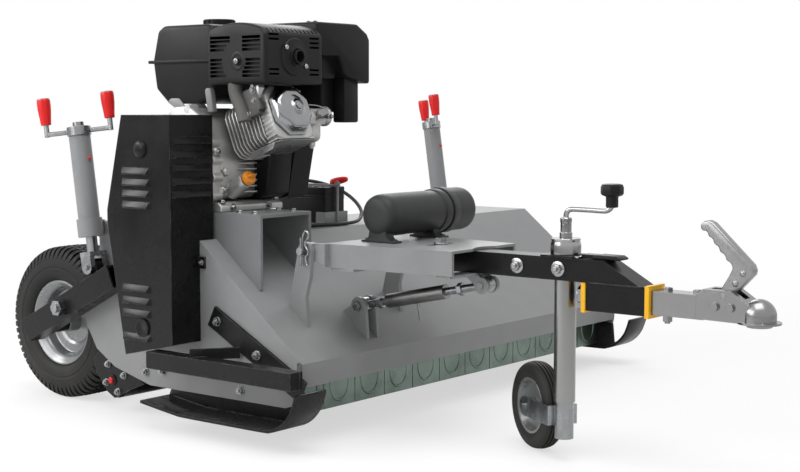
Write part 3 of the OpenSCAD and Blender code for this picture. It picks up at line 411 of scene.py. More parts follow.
finish("dull_steel", (0.24, 0.24, 0.235), 0.34, metal=1.0, vary=0.12, scale=14, bump=0.04, scratch=0.4)
finish("cast_lever", (0.27, 0.27, 0.27), 0.3, metal=0.9, vary=0.06, scale=25, grain=600, bump=0.06)
finish("dark_steel", (0.11, 0.11, 0.115), 0.45, metal=0.9, vary=0.2, scale=18, bump=0.12,
       wear_and_highlight=(0.42, 0.42, 0.43), scratch=0.5)
finish("cast_aluminium", (0.46, 0.46, 0.45), 0.46, metal=0.75, vary=0.14, scale=20, grain=700, bump=0.22,
       wear_and_highlight=(0.7, 0.7, 0.69), shine=0.3)
finish("polished_cover", (0.28, 0.285, 0.29), 0.17, metal=1.0, vary=0.06, scale=30, bump=0.02)
finish("cast_exhaust", (0.1, 0.098, 0.095), 0.62, metal=0.3, vary=0.25, scale=25, grain=500, bump=0.3,
       wear_and_highlight=(0.2, 0.17, 0.14), shine=0.3)
finish("black_heat_paint", (0.01, 0.01, 0.0105), 0.42, vary=0.15, grain=900, bump=0.12,
       wear_and_highlight=(0.05, 0.05, 0.05), shine=0.18)
finish("black_plastic", (0.012, 0.012, 0.0125), 0.36, vary=0.14, grain=1400, bump=0.12,
       wear_and_highlight=(0.035, 0.035, 0.036), shine=0.13)
finish("canister_plastic", (0.034, 0.035, 0.035), 0.44, vary=0.1, grain=1400, bump=0.12,
       wear_and_highlight=(0.06, 0.06, 0.06), shine=0.2)
finish("orange_plastic", (0.78, 0.27, 0.02), 0.35, vary=0.08, grain=800, bump=0.06, shine=0.3)
finish("yellow_plastic", (0.8, 0.42, 0.01), 0.4, vary=0.06, grain=800, bump=0.06, wear_and_highlight=(0.9, 0.62, 0.2),
       shine=0.3)
finish("red_rubber", (0.62, 0.012, 0.012), 0.36, vary=0.07, grain=900, shine=0.3)
finish("cable_rubber", (0.014, 0.014, 0.014), 0.45, vary=0.2, scale=40, grain=900, bump=0.1, soft_edge=0,
       shine=0.3)
finish("belt_rubber", (0.02, 0.02, 0.02), 0.7, vary=0.2, grain=900, bump=0.15, shine=0.3)
finish("brass_nut", (0.5, 0.35, 0.13), 0.3, metal=1.0, vary=0.1, scratch=0.5)
finish("silver_rim", (0.228, 0.232, 0.236), 0.3, metal=0.6, vary=0.06, bump=0.04, dust=0.1, coat=0.08,
       shine=0.28)
finish("tyre_rubber", (0.012, 0.012, 0.0118), 0.58, vary=0.25, scale=16, grain=600, bump=0.2, dust=0.1,
       soft_edge=0.001, shine=0.2)
print("finishes:", len(finishes))

# %% [markdown]
# Every solid names a material slot in the record, so the finishes go onto the solids by slot. Five solids
# get a finish of their own, because rolled flaps, a pressed coupler, a drawn tube, a dull sleeve and a sooty
# silencer look different.

# %% Finishes on the solids
own_finish = {"front_flaps": "flap_zinc", "coupler_head": "pressed_zinc", "jockey_tube": "drawn_tube",
              "turnbuckle_sleeve": "dull_steel", "exhaust": "black_heat_paint"}
for entry in frame["record"]["subparts"]:
    node_mesh = nodes[entry["node"]].data
    node_mesh.materials.clear()
    node_mesh.materials.append(finishes[own_finish.get(entry["node"], entry["material_slot"])])
battery_lead.data.materials.append(finishes["cable_rubber"])

# %% [markdown]
# The pieces that follow are all modelled the same way. A line is drawn by extruding one point along a
# profile. Spun round an axis, it becomes a turned part. Filled and extruded, it becomes a plate.

# %% Drawing and turning tools
AHEAD, LEFT, RIGHT, UP = (Vector(way) for way in ((1, 0, 0), (0, 1, 0), (0, -1, 0), (0, 0, 1)))


def draw_line(points, fresh=True):
    """A line of edges in a new mesh or, if it isn't fresh, in the mesh that is being edited."""
    if fresh:
        bpy.ops.object.select_all(action="DESELECT")
    else:
        bpy.ops.mesh.select_all(action="DESELECT")
    bpy.ops.mesh.primitive_plane_add(size=0.01, location=(0, 0, 0))
    if fresh:
        bpy.ops.object.mode_set(mode="EDIT")
    bpy.ops.mesh.merge(type="CENTER")
    bpy.ops.transform.translate(value=points[0])
    for a, b in zip(points, points[1:]):
        bpy.ops.mesh.extrude_region_move(TRANSFORM_OT_translate={"value": b - a})
    return bpy.context.object


def tidy_mesh(threshold=1e-5):
    """Merge doubles, turn all faces outwards and leave edit mode."""
    bpy.ops.mesh.select_all(action="SELECT")
    bpy.ops.mesh.remove_doubles(threshold=threshold)
    bpy.ops.mesh.normals_make_consistent(inside=False)
    bpy.ops.object.mode_set(mode="OBJECT")


def turned(name, profile, centre, axis, turns=48, side=None):
    """A turned part: a profile of (radius, height) in millimetres about an axis through centre, in metres."""
    axis = Vector(axis).normalized()
    if side is None:
        side = axis.orthogonal().normalized()
    piece = draw_line([centre + axis * h / 1000 + side * r / 1000 for r, h in profile])
    piece.name = name
    bpy.ops.mesh.select_all(action="SELECT")
    bpy.ops.mesh.spin(steps=turns, angle=2 * math.pi, center=centre, axis=axis)
    tidy_mesh()
    return piece


def plate(name, outline, depth, fresh=True):
    """A plate: a filled outline of points in metres, pushed out by a depth vector."""
    piece = draw_line(outline, fresh)
    bpy.ops.mesh.select_linked()
    bpy.ops.mesh.edge_face_add()
    bpy.ops.mesh.extrude_region_move(TRANSFORM_OT_translate={"value": depth})
    if fresh:
        piece.name = name
        tidy_mesh()
    return piece


print("drawing tools ready")

# %% [markdown]
# Sharp edges never occur on a real part, so a bevel softens most plates. A slab is such a plate whose
# outline lies across one of the three axes, which suits nearly everything that is cut, pressed or cast on
# this machine.

# %% Bevels and slabs
def apply_all(piece):
    bpy.context.view_layer.objects.active = piece
    for modifier in list(piece.modifiers):
        bpy.ops.object.modifier_apply(modifier=modifier.name)


def soften(piece, width, segments=3, angle=30):
    """Bevel the edges that are sharper than an angle; the width is in millimetres."""
    bevel = piece.modifiers.new("bevel", "BEVEL")
    bevel.width = width / 1000
    bevel.segments = segments
    bevel.limit_method = "ANGLE"
    bevel.angle_limit = math.radians(angle)
    apply_all(piece)


def slab(name, across, at, outline, depth, *bevel, place=mm):
    """A plate across the X, Y or Z axis, from at to at + depth; place makes a point of three numbers."""
    axis = "XYZ".index(across)

    def point(first, second, along_axis):
        spot = [first, second]
        spot.insert(axis, along_axis)
        return place(*spot)

    piece = plate(name, [point(a, b, at) for a, b in outline], point(0, 0, depth) - point(0, 0, 0))
    if bevel:
        soften(piece, *bevel)
    return piece


def box_line(a0, a1, b0, b1):
    return [(a0, b0), (a1, b0), (a1, b1), (a0, b1)]


print("slab tools ready")

# %% [markdown]
# In the end, the parts of a piece are joined, smoothed where the angles are small, and fitted: the piece
# gets its name, its finish, the body it rides on and, where there is one, the plain solid that it replaces.

# %% Joining, mirroring and fitting
def select_only(pieces):
    bpy.ops.object.select_all(action="DESELECT")
    for piece in pieces:
        piece.select_set(True)
    bpy.context.view_layer.objects.active = pieces[0]


def join(pieces):
    select_only(pieces)
    if len(pieces) > 1:
        bpy.ops.object.join()
    return pieces[0]


def fit(name, parts, body, slot, replaces=(), finish_name=None, smooth=35):
    """Join parts to one named piece that rides on a body."""
    piece = join(parts)
    piece.name = name
    bpy.ops.object.shade_smooth_by_angle(angle=math.radians(smooth))
    piece.data.name = piece.name
    piece.data.materials.clear()
    piece.data.materials.append(finishes[finish_name or slot])
    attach(piece, body)
    if replaces:
        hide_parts(*replaces)
    print(piece.name, "faces", len(piece.data.polygons))


def fit_bright(name, parts, body, replaces=()):
    """Fit a piece of plated steel that is brighter than the larger steel parts."""
    fit(name, parts, body, "zinc_steel", replaces, "bright_steel")


def mirrored(piece):
    """A copy with its own mesh on the other side of the centre plane."""
    select_only([piece])
    bpy.ops.object.duplicate(linked=False)
    copy = bpy.context.object
    bpy.ops.object.mode_set(mode="EDIT")
    bpy.ops.mesh.select_all(action="SELECT")
    bpy.ops.transform.resize(value=(1, -1, 1), center_override=(0, 0, 0))
    bpy.ops.mesh.normals_make_consistent(inside=False)
    bpy.ops.object.mode_set(mode="OBJECT")
    return copy


def fit_pair(name, right, body, slot, node):
    """Fit a piece of the right side, and its mirror image on the left."""
    for hand, piece in (("_right", right), ("_left", mirrored(right))):
        fit(name + hand, [piece], body + hand, slot, [node + hand])


print("fitting tools ready")

# %% [markdown]
# The road tyres are turf tyres: a round carcass, a ring of lugs on each shoulder and slanted blocks between
# them, which spare the grass. One pitch of the tread is drawn as plates standing on the carcass and then
# spun round the axle as copies, so every block stays a simple, light shape.

# %% Road tyres
wheel_x, wheel_y, wheel_z = -858, -674, 203
wheel = mm(wheel_x, wheel_y, wheel_z)
tyre_width, pitch_count = 150, 64
half = [(101.5, 34), (103, 24), (113, 18), (115, 13), (119, 8), (127, 3), (136, 0.8), (144, 0.4), (146, 1.8),
        (149, 1.8), (151, 0.5), (164, 1.6), (176, 5), (185, 10), (190, 17), (193.5, 28), (195, 45),
        (195.5, 75)]
carcass_line = half + [(r, tyre_width - h) for r, h in reversed(half[:-1])]
carcass = turned("tyre_carcass", carcass_line + [carcass_line[0]], wheel, LEFT, 96)

lug_half, lug_lean = 5.6, 2.5
shoulder = [(33, 194), (33, 202.3), (24, 201.6), (16, 198), (9.5, 191.5), (5, 182), (2.6, 171), (4.5, 170),
            (10, 184), (20, 192)]
for far in (False, True):
    lean = lug_lean if far else -lug_lean
    outline = [mm(wheel_x - lug_half + lean * (wheel_z - r) / 20, wheel_y + (tyre_width - h if far else h),
                  wheel_z + r) for h, r in shoulder]
    plate("tread", outline, mm(2 * lug_half, 0, 0), fresh=not far)
    bpy.ops.object.mode_set(mode="EDIT")

block_foot, block_height = 194, 8.4
for row, (h0, h1) in enumerate(((38, 55), (58, 74), (77, 92), (95, 112))):
    slant = 5 if row % 2 else -5
    shift = 0 if row in (0, 3) else 10
    corners = [(-7 + slant, h0), (8 + slant, h0 + 1), (8 - slant, h1), (-7 - slant, h1 - 1)]
    outline = [mm(wheel_x + s + shift, wheel_y + h, wheel_z + block_foot) for s, h in corners]
    plate("block", outline, mm(0, 0, block_height), fresh=False)
bpy.ops.mesh.select_all(action="SELECT")
bpy.ops.mesh.normals_make_consistent(inside=False)
bpy.ops.mesh.spin(steps=pitch_count - 1, angle=2 * math.pi * (pitch_count - 1) / pitch_count, dupli=True,
                  center=wheel, axis=LEFT)
bpy.ops.object.mode_set(mode="OBJECT")
tread = bpy.context.object
fit_pair("turf_tyre", join([carcass, tread]), "wheel", "tyre_rubber", "wheel_tyre")

# %% [markdown]
# The jockey wheel has a small solid tyre with four grooves round its tread. It is one turned part about the
# slanted axle of the fork.

# %% Jockey tyre
jockey_x, arm_y = 562, -410
fork_turn, fork_trail, jockey_radius = math.radians(150), 126, 100
jockey_axle = mm(jockey_x + fork_trail * math.cos(fork_turn), arm_y + fork_trail * math.sin(fork_turn),
                 jockey_radius)
half = [(64.3, -21), (70, -23.4), (73, -24.6), (80, -25), (88, -24), (94, -20.5), (97.2, -16), (98.2, -13),
        (95, -12.4), (95, -10.4), (99, -9.8), (99.5, -5.4), (96, -4.8), (96, -2.9), (jockey_radius, -2.3)]
jockey_line = half + [(r, -h) for r, h in reversed(half)]
jockey_tyre = turned("ribbed_tyre", jockey_line + [jockey_line[0]], jockey_axle,
                     (math.sin(fork_turn), -math.cos(fork_turn), 0), 72)
fit("ribbed_tyre", [jockey_tyre], "jockey_wheel", "tyre_rubber", ["jockey_tyre"])

# %% [markdown]
# Each front flap has a U-shaped bead pressed into its sheet, which stiffens it. A round bar bent to a U and
# squashed onto the face of the flap gives that bead, and the same U is used on all twelve flaps.

# %% Pressed beads of the flaps
def bent_bar(name, points, radius, steps, sides):
    """A round bar along a smooth path through points in metres, as a mesh."""
    bar = round_cord(name, smooth_path(points, steps), radius, sides)
    select_only([bar])
    bpy.ops.object.convert(target="MESH")
    bpy.ops.object.mode_set(mode="EDIT")
    tidy_mesh(1e-6)
    return bpy.context.object


flap_count, flap_span, flap_face = 12, 1356, -6.5
flap_pitch = flap_span / flap_count
bead_half, bead_radius, bead_squash = 33, 3.4, 0.6
bead_arc = [math.radians(a) for a in range(0, 181, 20)]
bead_line = [(-bead_half, 156), (-bead_half, 128)]
bead_line += [(-bead_half * math.cos(a), 118 - 40 * math.sin(a)) for a in bead_arc]
bead_line += [(bead_half, 128), (bead_half, 156)]
beads = []
for i in range(flap_count):
    middle = -flap_span / 2 + (i + 0.5) * flap_pitch
    beads.append(bent_bar("bead", [mm(flap_face, middle + y, z) for y, z in bead_line], bead_radius, 2, 2))
    bpy.ops.object.mode_set(mode="EDIT")
    bpy.ops.mesh.select_all(action="SELECT")
    bpy.ops.transform.resize(value=(bead_squash, 1, 1), center_override=mm(flap_face, 0, 0))
    bpy.ops.object.mode_set(mode="OBJECT")
fit("flap_beads", beads, "front_flaps", "zinc_steel", (), "flap_zinc")

# %% [markdown]
# The crank grips are red and soft: narrow at the crank, fuller at the top and rounded off. They are turned
# parts that slip over the plain grips of the crank, in the leaning frame of each jack.

# %% Crank grips
grip_line = [(7.2, 35.4), (12.2, 35.5), (13, 36.6), (13.2, 41), (14, 50), (15.2, 61), (16.5, 73), (17, 84),
             (17, 95), (16.5, 99.4), (15, 102), (12, 103.2), (0, 103.5)]
crank_height, crank_reach = 0.2383, 0.081
jack_lean = math.atan2(-14, 93)
jack_up = Vector((math.sin(jack_lean), 0, math.cos(jack_lean)))
jack_side = Vector((math.cos(jack_lean), 0, -math.sin(jack_lean)))
jack_feet = {"right": mm(-643, -731, 468), "left": mm(-643, 731, 468)}
for label, hand, crank_angle in (("right", -1, 38), ("left", 1, 40)):
    turn = math.radians(crank_angle)
    reach = jack_side * math.cos(turn) + Vector((0, -hand * math.sin(turn), 0))
    hub = jack_feet[label] + jack_up * crank_height
    pair = [turned("grip", grip_line, hub + reach * s * crank_reach, jack_up, 32) for s in (-1, 1)]
    fit("crank_grips_" + label, pair, "jack_crank_" + label, "red_rubber")

# %% [markdown]
# The fuel tank is moulded plastic with generous corners and a seam flange all round its middle. Two slabs
# are enough: the tank's side outline pushed out over its width, with wide bevels, and the flange with small
# ones.

# %% Fuel tank
tank_side = [(-556, 890), (-536, 966), (-514, 978), (-350, 978), (-337, 966), (-337, 800), (-400, 783),
             (-500, 783), (-544, 820)]
tank = slab("tank_shell", "Y", -594, tank_side, 364, 11, 4, 25)
flange = slab("tank_flange", "Z", 884, box_line(-566, -336.4, -600, -224), 8, 2.4, 2)
fit("moulded_tank", [tank, flange], "deck", "black_plastic", ["fuel_tank"])

# %% [markdown]
# The air filter cover shows its stepped face to the front: a cut top corner, a deep half beside the frame
# and a short half next to the muffler, with the darker filter body set back under it. A wing nut holds the
# lid.

# %% Air filter
wing_x, wing_y = -250, -330
lid_face = [(-416.5, 902), (-331, 902), (-309, 852), (-213.5, 834), (-213, 946), (-223, 962), (-262, 984.6),
            (-416.5, 984.6)]
filter_parts = [slab("filter_lid", "X", -335.5, lid_face, 180, 7, 3),
                slab("filter_body", "X", -330, box_line(-410, -318, 846, 905), 148, 4, 2),
                slab("filter_neck", "X", -320, [(-340, 762), (-252, 762), (-232, 850), (-340, 870)], 110, 8,
                     3),
                slab("filter_leg", "X", -210, [(-298, 736), (-242, 736), (-242, 846), (-298, 850)], 40, 5, 2),
                turned("wing_hub", [(0, 0), (12, 0), (12, 2), (9, 4), (7, 7), (0, 7.4)], mm(wing_x, wing_y,
                                                                                            984),
                       UP, 24)]
wing = [(3, 985.5), (14, 988), (17, 992.5), (10, 993.5), (3, 990)]
for s in (-1, 1):
    filter_parts.append(slab("wing", "Y", wing_y - 2, [(wing_x + s * x, z) for x, z in wing], 4))
fit("air_filter_cover", filter_parts, "deck", "black_plastic", ["air_filter"])

# %% [markdown]
# The muffler guard is a pressed steel box with a domed top. Its walls are thin, so the rounded form gets a
# wall with Solidify, and the slots are then cut right through with one Boolean. Rows on the near face stop
# short of the dimple round the middle bolt, and a line of small slits runs along the top front edge.

# %% Muffler guard
guard_face, guard_front = -620, -136
dome_x, dome_z, dome_radius = -233.5, 700, 276
dome = [(x, dome_z + math.sqrt(dome_radius ** 2 - (x - dome_x) ** 2)) for x in range(-322, -144, 14)]
guard_side = [(-331, 829), (-331, 949)] + dome + [(guard_front, 949), (guard_front, 829)]
guard_shell = slab("muffler_shell", "Y", guard_face, guard_side, 203, 8, 3, 24)
wall = guard_shell.modifiers.new("wall", "SOLIDIFY")
wall.thickness = 0.0025
wall.offset = -1
apply_all(guard_shell)


def cutter(x0, x1, y0, y1, z0, z1):
    """A block between two corners, in millimetres, that cuts a slot."""
    bpy.ops.object.select_all(action="DESELECT")
    bpy.ops.mesh.primitive_cube_add(size=1, location=mm(x0 + x1, y0 + y1, z0 + z1) / 2,
                                    scale=mm(x1 - x0, y1 - y0, z1 - z0))
    bpy.ops.object.transform_apply(location=True, rotation=True, scale=True)
    return bpy.context.object


bolt_x, bolt_z = -227, 884
near_slot, front_slot, slit_pitch = 7, 5, 14
slots = []
for z in (937, 927.5, 917.5, 908, 884, 874.5, 865, 855.5, 846):
    lift = z + near_slot / 2 - bolt_z
    trim_left, trim_right = (math.sqrt(max(0, radius ** 2 - lift ** 2)) for radius in (52, 26))
    for x0, x1 in ((-320, min(-252, bolt_x - trim_left)), (max(-212, bolt_x + trim_right), -152)):
        slots.append(cutter(x0, x1, guard_face - 10, guard_face + 8, z, z + near_slot))
for y0, y1, rows in ((-608, -572, (944, 933, 862, 851)), (-466, -432, (938, 927, 916, 862, 851))):
    slots += [cutter(guard_front - 8, guard_front + 8, y0, y1, z, z + front_slot) for z in rows]
for i in range(13):
    slit_y = -604 + i * slit_pitch
    slots.append(cutter(-150, -130, slit_y, slit_y + 5, 952, 970))
slots = join(slots)
cut = guard_shell.modifiers.new("slots", "BOOLEAN")
cut.operation = "DIFFERENCE"
cut.solver = "EXACT"
cut.object = slots
apply_all(guard_shell)
bpy.data.objects.remove(slots)
print("guard faces with slots", len(guard_shell.data.polygons))

# %% [markdown]
# A round dimple carries the middle bolt, and a stepped boss the outlet. Both are turned on the faces of the
# guard, and the bright bolts are a piece of their own.

# %% Dimple, outlet and bolts of the guard
bolt_place = mm(bolt_x, guard_face, bolt_z)
outlet_y, outlet_z = -520, 895
dimple = turned("dimple", [(23, 0), (21, 1.4), (17, 1.6), (13, 0.4), (10, 0.2), (10, 1.6), (8.4, 2),
                           (8.4, 6.4), (7, 7.2), (0, 7.4)], bolt_place, RIGHT, 32)
boss = turned("outlet_boss", [(45, 0), (45, 2), (43, 4), (28, 4.6), (23.5, 6.5), (23, 12), (20.5, 12.6),
                              (18.4, 12), (18.4, 0)], mm(guard_front, outlet_y, outlet_z), AHEAD, 40)
fit("pressed_muffler_guard", [guard_shell, dimple, boss], "deck", "black_heat_paint", ["muffler_guard"])
bolts = [turned("outlet_bolt", [(6.5, 4), (6.5, 9), (5.5, 10), (0, 10)],
                mm(guard_front, outlet_y + s * 34, outlet_z - s * 22), AHEAD, 6) for s in (-1, 1)]
bolts.append(turned("dimple_bolt", [(8.2, 6), (7, 8), (3.5, 8.4), (3.4, 11), (0, 11.2)], bolt_place, RIGHT,
                    6))
fit_bright("muffler_guard_bolts", bolts, "deck")

# %% [markdown]
# The valve cover is a bright eight-sided pressing: a flat rim, a raised middle with round shoulders and a
# cone with one nut in its centre. Eight turning steps give the eight sides, and the points of the profile
# round the pressed shoulder. It stands on the tilted axis of the cylinder.

# %% Valve cover
tilt, half_side = math.radians(22), math.pi / 8
along = Vector((math.cos(tilt), 0, math.sin(tilt)))
upward = Vector((-math.sin(tilt), 0, math.cos(tilt)))
head_foot = mm(-386, -516, 670)
cover_foot = head_foot + along * 0.2483 + upward * 0.004
corner_way = (upward * math.cos(half_side) + LEFT * math.sin(half_side)).normalized()
cover = turned("cover_rim", [(0, 0.2), (68, 0.2), (68, 4.5), (63, 6), (60, 8), (58.5, 15), (55, 21), (49, 24),
                             (43, 25), (0, 25)], cover_foot, along, 8, corner_way)
cone = turned("cover_cone", [(33, 24.6), (30, 26), (22, 27.5), (15, 31), (13, 33.5), (9, 34)], cover_foot,
              along, 40)
nut = turned("cover_nut", [(9.5, 33.4), (9.5, 37), (8.4, 37.7), (0, 37.7)], cover_foot, along, 6)
fit("pressed_valve_cover", [cover, cone, nut], "deck", "polished_cover", ["valve_cover"], smooth=40)

# %% [markdown]
# The document canister is a dark plastic bottle lying on two moulded feet: a rounded near end, a collar and
# a smooth cap with a wide band round its mouth. Bottle and cap are turned, and the feet are slabs.

# %% Document canister
bottle_x = 85
bottle_foot = mm(bottle_x, -485, 522.3)
canister = [turned("bottle", [(0, 14), (46.4, 14), (46.4, 279), (50, 279), (50, 240), (52.5, 238.6),
                              (53.6, 235), (53.6, 218), (52.5, 214.5), (50, 213), (50, 32), (49, 20),
                              (46, 11), (41, 5), (33, 1.6), (20, 0.3), (0, 0.2)], bottle_foot, LEFT, 64)]
foot_face = [(-49, 458.4), (51, 458.4), (51, 463), (34, 464.5), (27, 472), (24, 486), (19, 496), (-19, 496),
             (-24, 486), (-27, 472), (-34, 464.5), (-49, 463)]
foot_width, screw_line = 30, [(7, 0), (7, 1.2), (5.4, 1.4), (5, 4.6), (0, 5)]
for near_y in (-478, -294):
    canister.append(slab("canister_foot", "Y", near_y, [(bottle_x + x, z) for x, z in foot_face],
                         foot_width, 1.5, 2))
    for x in (44, 128):
        canister.append(turned("foot_screw", screw_line, mm(x, near_y + foot_width / 2, 463), UP, 12))
fit("document_canister", canister, "drawbar", "black_plastic", ["document_tube"], "canister_plastic")

cap = turned("cap", [(0, 316), (50.7, 316), (50.7, 241), (55, 241.3), (56.3, 243), (56.3, 264), (55, 266),
                     (53.4, 268), (53.2, 322), (52, 330), (48.5, 335), (42, 336.7), (0, 337)], bottle_foot,
                     LEFT, 64)
fit("canister_cap", [cap], "document_cap", "black_plastic", ["document_cap"], "canister_plastic")

# %% [markdown]
# The coupler's hand lever is a die-cast grip with finger hollows below and a hook at its end. Its outline is
# drawn once in side view, pushed out to its thickness and given wide round edges.

# %% Coupler lever
lever_half = 11
lever_line = [(934, 391), (964, 391), (974, 410), (1005, 443), (1007, 452), (1003, 463), (916, 544),
              (906, 548), (895, 547), (888, 539), (888, 530), (894, 526), (902, 526), (906, 515),
              (915, 511), (919, 500), (928, 496), (932, 485), (942, 480), (946, 469), (956, 464),
              (960, 454), (951, 436), (937, 413)]
lever = slab("hand_lever", "Y", arm_y - lever_half, lever_line, 2 * lever_half, 4.2, 3, 40)
rivets = [turned("rivet", [(6.5, 0), (6.5, 1), (5.6, 2.2), (3.4, 3), (0, 3.2)], mm(x,
                                                                                   arm_y + s * lever_half, z),
                 LEFT * s, 20) for s in (-1, 1) for x, z in ((968, 424), (984, 445))]
lever_pin = turned("lever_pin", [(0, -29), (6, -29), (6, 29), (0, 29)], mm(950, arm_y, 398), LEFT, 24)
fit("cast_hand_lever", [lever, lever_pin] + rivets, "coupler_handle", "zinc_steel", ["coupler_handle"],
    "cast_lever", 40)

# %% [markdown]
# The jockey wheel is wound by a bright crank: a bell-shaped housing on the arm, a neck with a pin, a rod
# bent in one smooth sweep and an eight-sided knob. The rod follows a path like the cable does, so its bends
# come out round.

# %% Jockey crank
knob_x = 676
bell = turned("jockey_bell", [(24.6, 0.2), (33.5, 0.2), (33.5, 19), (33, 23), (31.6, 27), (31.4, 29),
                              (32, 30.4), (31.9, 33.4), (30.6, 34.6), (20, 35.4), (14.8, 35.4), (14.8, 30)],
              mm(jockey_x, arm_y, 457.5), UP, 48)
fit_bright("jockey_bell", [bell], "arm")
neck = turned("crank_neck", [(0, 0), (13.8, 0), (13.8, 12), (12, 13.5), (12, 34), (12.8, 35), (12.8, 43),
                             (11, 45.5), (6.4, 46.2), (0, 46.2)], mm(jockey_x, arm_y, 491.7), UP, 32)
rod_line = [(jockey_x, 520), (jockey_x, 534), (562.5, 543), (566, 550.5), (573, 555), (583, 556), (610, 556),
            (640, 555.6), (658, 555.4), (668, 558), (674.5, 564), (knob_x, 572), (knob_x, 579)]
rod = bent_bar("crank_rod", [mm(x, arm_y, z) for x, z in rod_line], 6, 5, 4)
pin = turned("neck_pin", [(0, -13.4), (2.6, -13.4), (2.6, 13.4), (0, 13.4)], mm(jockey_x, arm_y, 520), LEFT,
             16)
fit_bright("jockey_crank_rod", [neck, rod, pin], "jockey_crank", ["jockey_crank"])

knob = turned("crank_knob", [(6.5, 1), (12.5, 1), (13.6, 3), (13.6, 24), (22, 27), (25, 31), (25, 44),
                             (22.5, 50), (17, 51.5), (0, 51.6)], mm(knob_x, arm_y, 562.3), UP, 8,
              AHEAD * math.cos(half_side) + LEFT * math.sin(half_side))
soften(knob, 1.6, 3, 25)
fit("crank_knob", [knob], "jockey_knob", "black_plastic", ["jockey_knob"])

# %% [markdown]
# Air leaves the belt guard through pressed louvres. Each one is a flat, sloping hood that stands out most
# along its lower edge and has short slanted ends. Its end view, a low wedge, is pushed out to the length of
# the slot; the ends are then cut off at a slant, and a bevel rounds the pressed corners.

# %% Louvres of the belt guard
def hood(middle, run, out, length, reach):
    """A louvre hood round middle: run is the way along the slot, out the way off the sheet."""
    wedge = [(-0.4, -8), (reach * 0.8, -8), (reach, -6), (reach * 0.92, -3), (1.4, 9.5), (-0.4, 10.5)]
    half_run = run * length / 2000
    start = middle - half_run
    piece = plate("hood", [start + out * o / 1000 + mm(0, 0, z) for o, z in wedge], half_run * 2)
    bpy.ops.object.mode_set(mode="EDIT")
    for end, away in ((start, -run), (middle + half_run, run)):
        bpy.ops.mesh.select_all(action="SELECT")
        bpy.ops.mesh.bisect(plane_co=end, plane_no=out * 0.75 + away, clear_outer=True, use_fill=True)
    tidy_mesh()
    soften(piece, 1.6, 2, 25)
    return piece


guard_sheet, guard_edge, pulley_x = -787.8, -284.2, -386
side_slots = [(-403, z) for z in (542, 569, 596, 623)] + [(-407, z) for z in (224, 282, 312, 342)]
pressings = [hood(mm(x, guard_sheet, z), AHEAD, RIGHT, 98, 9.0) for x, z in side_slots]
pressings += [hood(mm(guard_edge, -720, z), LEFT, AHEAD, 124, 8.0) for z in (570, 600, 632, 664, 696)]
pressings.append(turned("guard_bump", [(21, 0), (20.6, 3.6), (18, 6.4), (11, 8.6), (0, 9.4)],
                        mm(pulley_x, guard_sheet, 676), RIGHT, 36))
pressings.append(turned("guard_plug", [(23, 0), (23, 4), (21.4, 5.6), (13, 6), (11, 5), (0, 5)],
                        mm(pulley_x, guard_sheet, 249), RIGHT, 36))
fit("guard_pressings", pressings, "deck", "black_paint", smooth=40)

# %% [markdown]
# Spring clips keep the hinge pins in place: a straight leg through the pin, an eye on top and a wavy leg
# outside. They are bent wire, so they are bars along a path too.

# %% Spring clips
clip_line = [(-42, 404), (-42, 425), (-42, 455), (-42, 470), (-40, 480), (-34, 487), (-27, 485), (-24, 478),
             (-27, 470), (-34, 462), (-33, 452), (-27, 443), (-27, 434), (-33, 426), (-31, 414), (-27, 406)]
clips = [bent_bar("clip", [mm(x, y, z) for x, z in clip_line], 2.3, 5, 3) for y in (-597, -223)]
fit_bright("spring_clips", clips, "deck")

# %% [markdown]
# The battery case has a lid with a step, two rails along its side and a row of vent plugs. Slabs with small
# bevels make the case, and the vents are short turned plugs.

# %% Battery case
battery_x, battery_y = -427, -146


def battery_slab(name, at, half_x, half_y, depth, *bevel):
    outline = box_line(battery_x - half_x, battery_x + half_x, battery_y - half_y, battery_y + half_y)
    return slab(name, "Z", at, outline, depth, *bevel)


case = [battery_slab("case", 464.2, 89.6, 39.6, 78, 3, 3), battery_slab("case_lid", 540, 90.6, 40.8, 20.6,
                                                                        3, 3)]
case += [battery_slab("rail", z, 90.2, 40.4, 2.4, 0.8, 2) for z in (528, 534)]
case += [turned("vent", [(9, 0), (9, 2), (7.6, 2.8), (3, 2.8), (3, 2), (0, 2)], mm(x, -165, 560.4), UP, 20)
         for x in range(-478, -350, 24)]
post = slab("battery_post", "Z", 560, box_line(-508, -492, -134, -118), 20, 1.5, 2)
fit("battery_case", case, "deck", "black_plastic", ["battery"])
fit("battery_post", [post], "deck", "dark_steel")

# %% [markdown]
# The cable comes out of the stand through a tapered rubber sleeve and ends at the post in a pressed eye with
# a sleeve over its shank.

# %% Cable sleeves
sleeve = turned("cable_sleeve", [(5.2, -2), (11, -2), (11.4, 0), (11, 3), (9.2, 5), (8.2, 16), (6.8, 32),
                                 (5.6, 40), (5.1, 40.4), (5.05, 30)], cable_path[0],
                                 cable_path[1] - cable_path[0], 24)
eye = turned("cable_eye", [(0, 0.3), (7, 0.3), (7.4, 2), (7.4, 18), (6.6, 22), (5.2, 26), (5.05, 20)],
             cable_path[-1], cable_path[-2] - cable_path[-1], 24)
fit("cable_sleeves", [sleeve, eye], "deck", "cable_rubber")

# %% [markdown]
# The exhaust leaves the cylinder head through a rough cast elbow with a bolted flange, beside a bright
# bracket plate that carries the guard. The elbow is a thick bar along a bent path, the flange and bracket
# are slabs. The head has a tilted frame of its own, and on_head places a point in it.

# %% Exhaust elbow and bracket
def on_head(x, y, z):
    return head_foot + along * x / 1000 + LEFT * y / 1000 + upward * z / 1000


def hex_bolt(place, way, size=7.0, washer=None, height=6.0):
    """A hexagon head with its washer, standing on place and pointing along way."""
    washer = washer or size * 1.5
    top = height + 1
    return join([turned("washer", [(0, 0), (washer, 0), (washer, 1.6), (0, 1.6)], place, way, 20),
                 turned("head", [(0, 1.5), (size, 1.5), (size, height), (size * 0.86, top), (0, top)],
                        place, way, 6)])


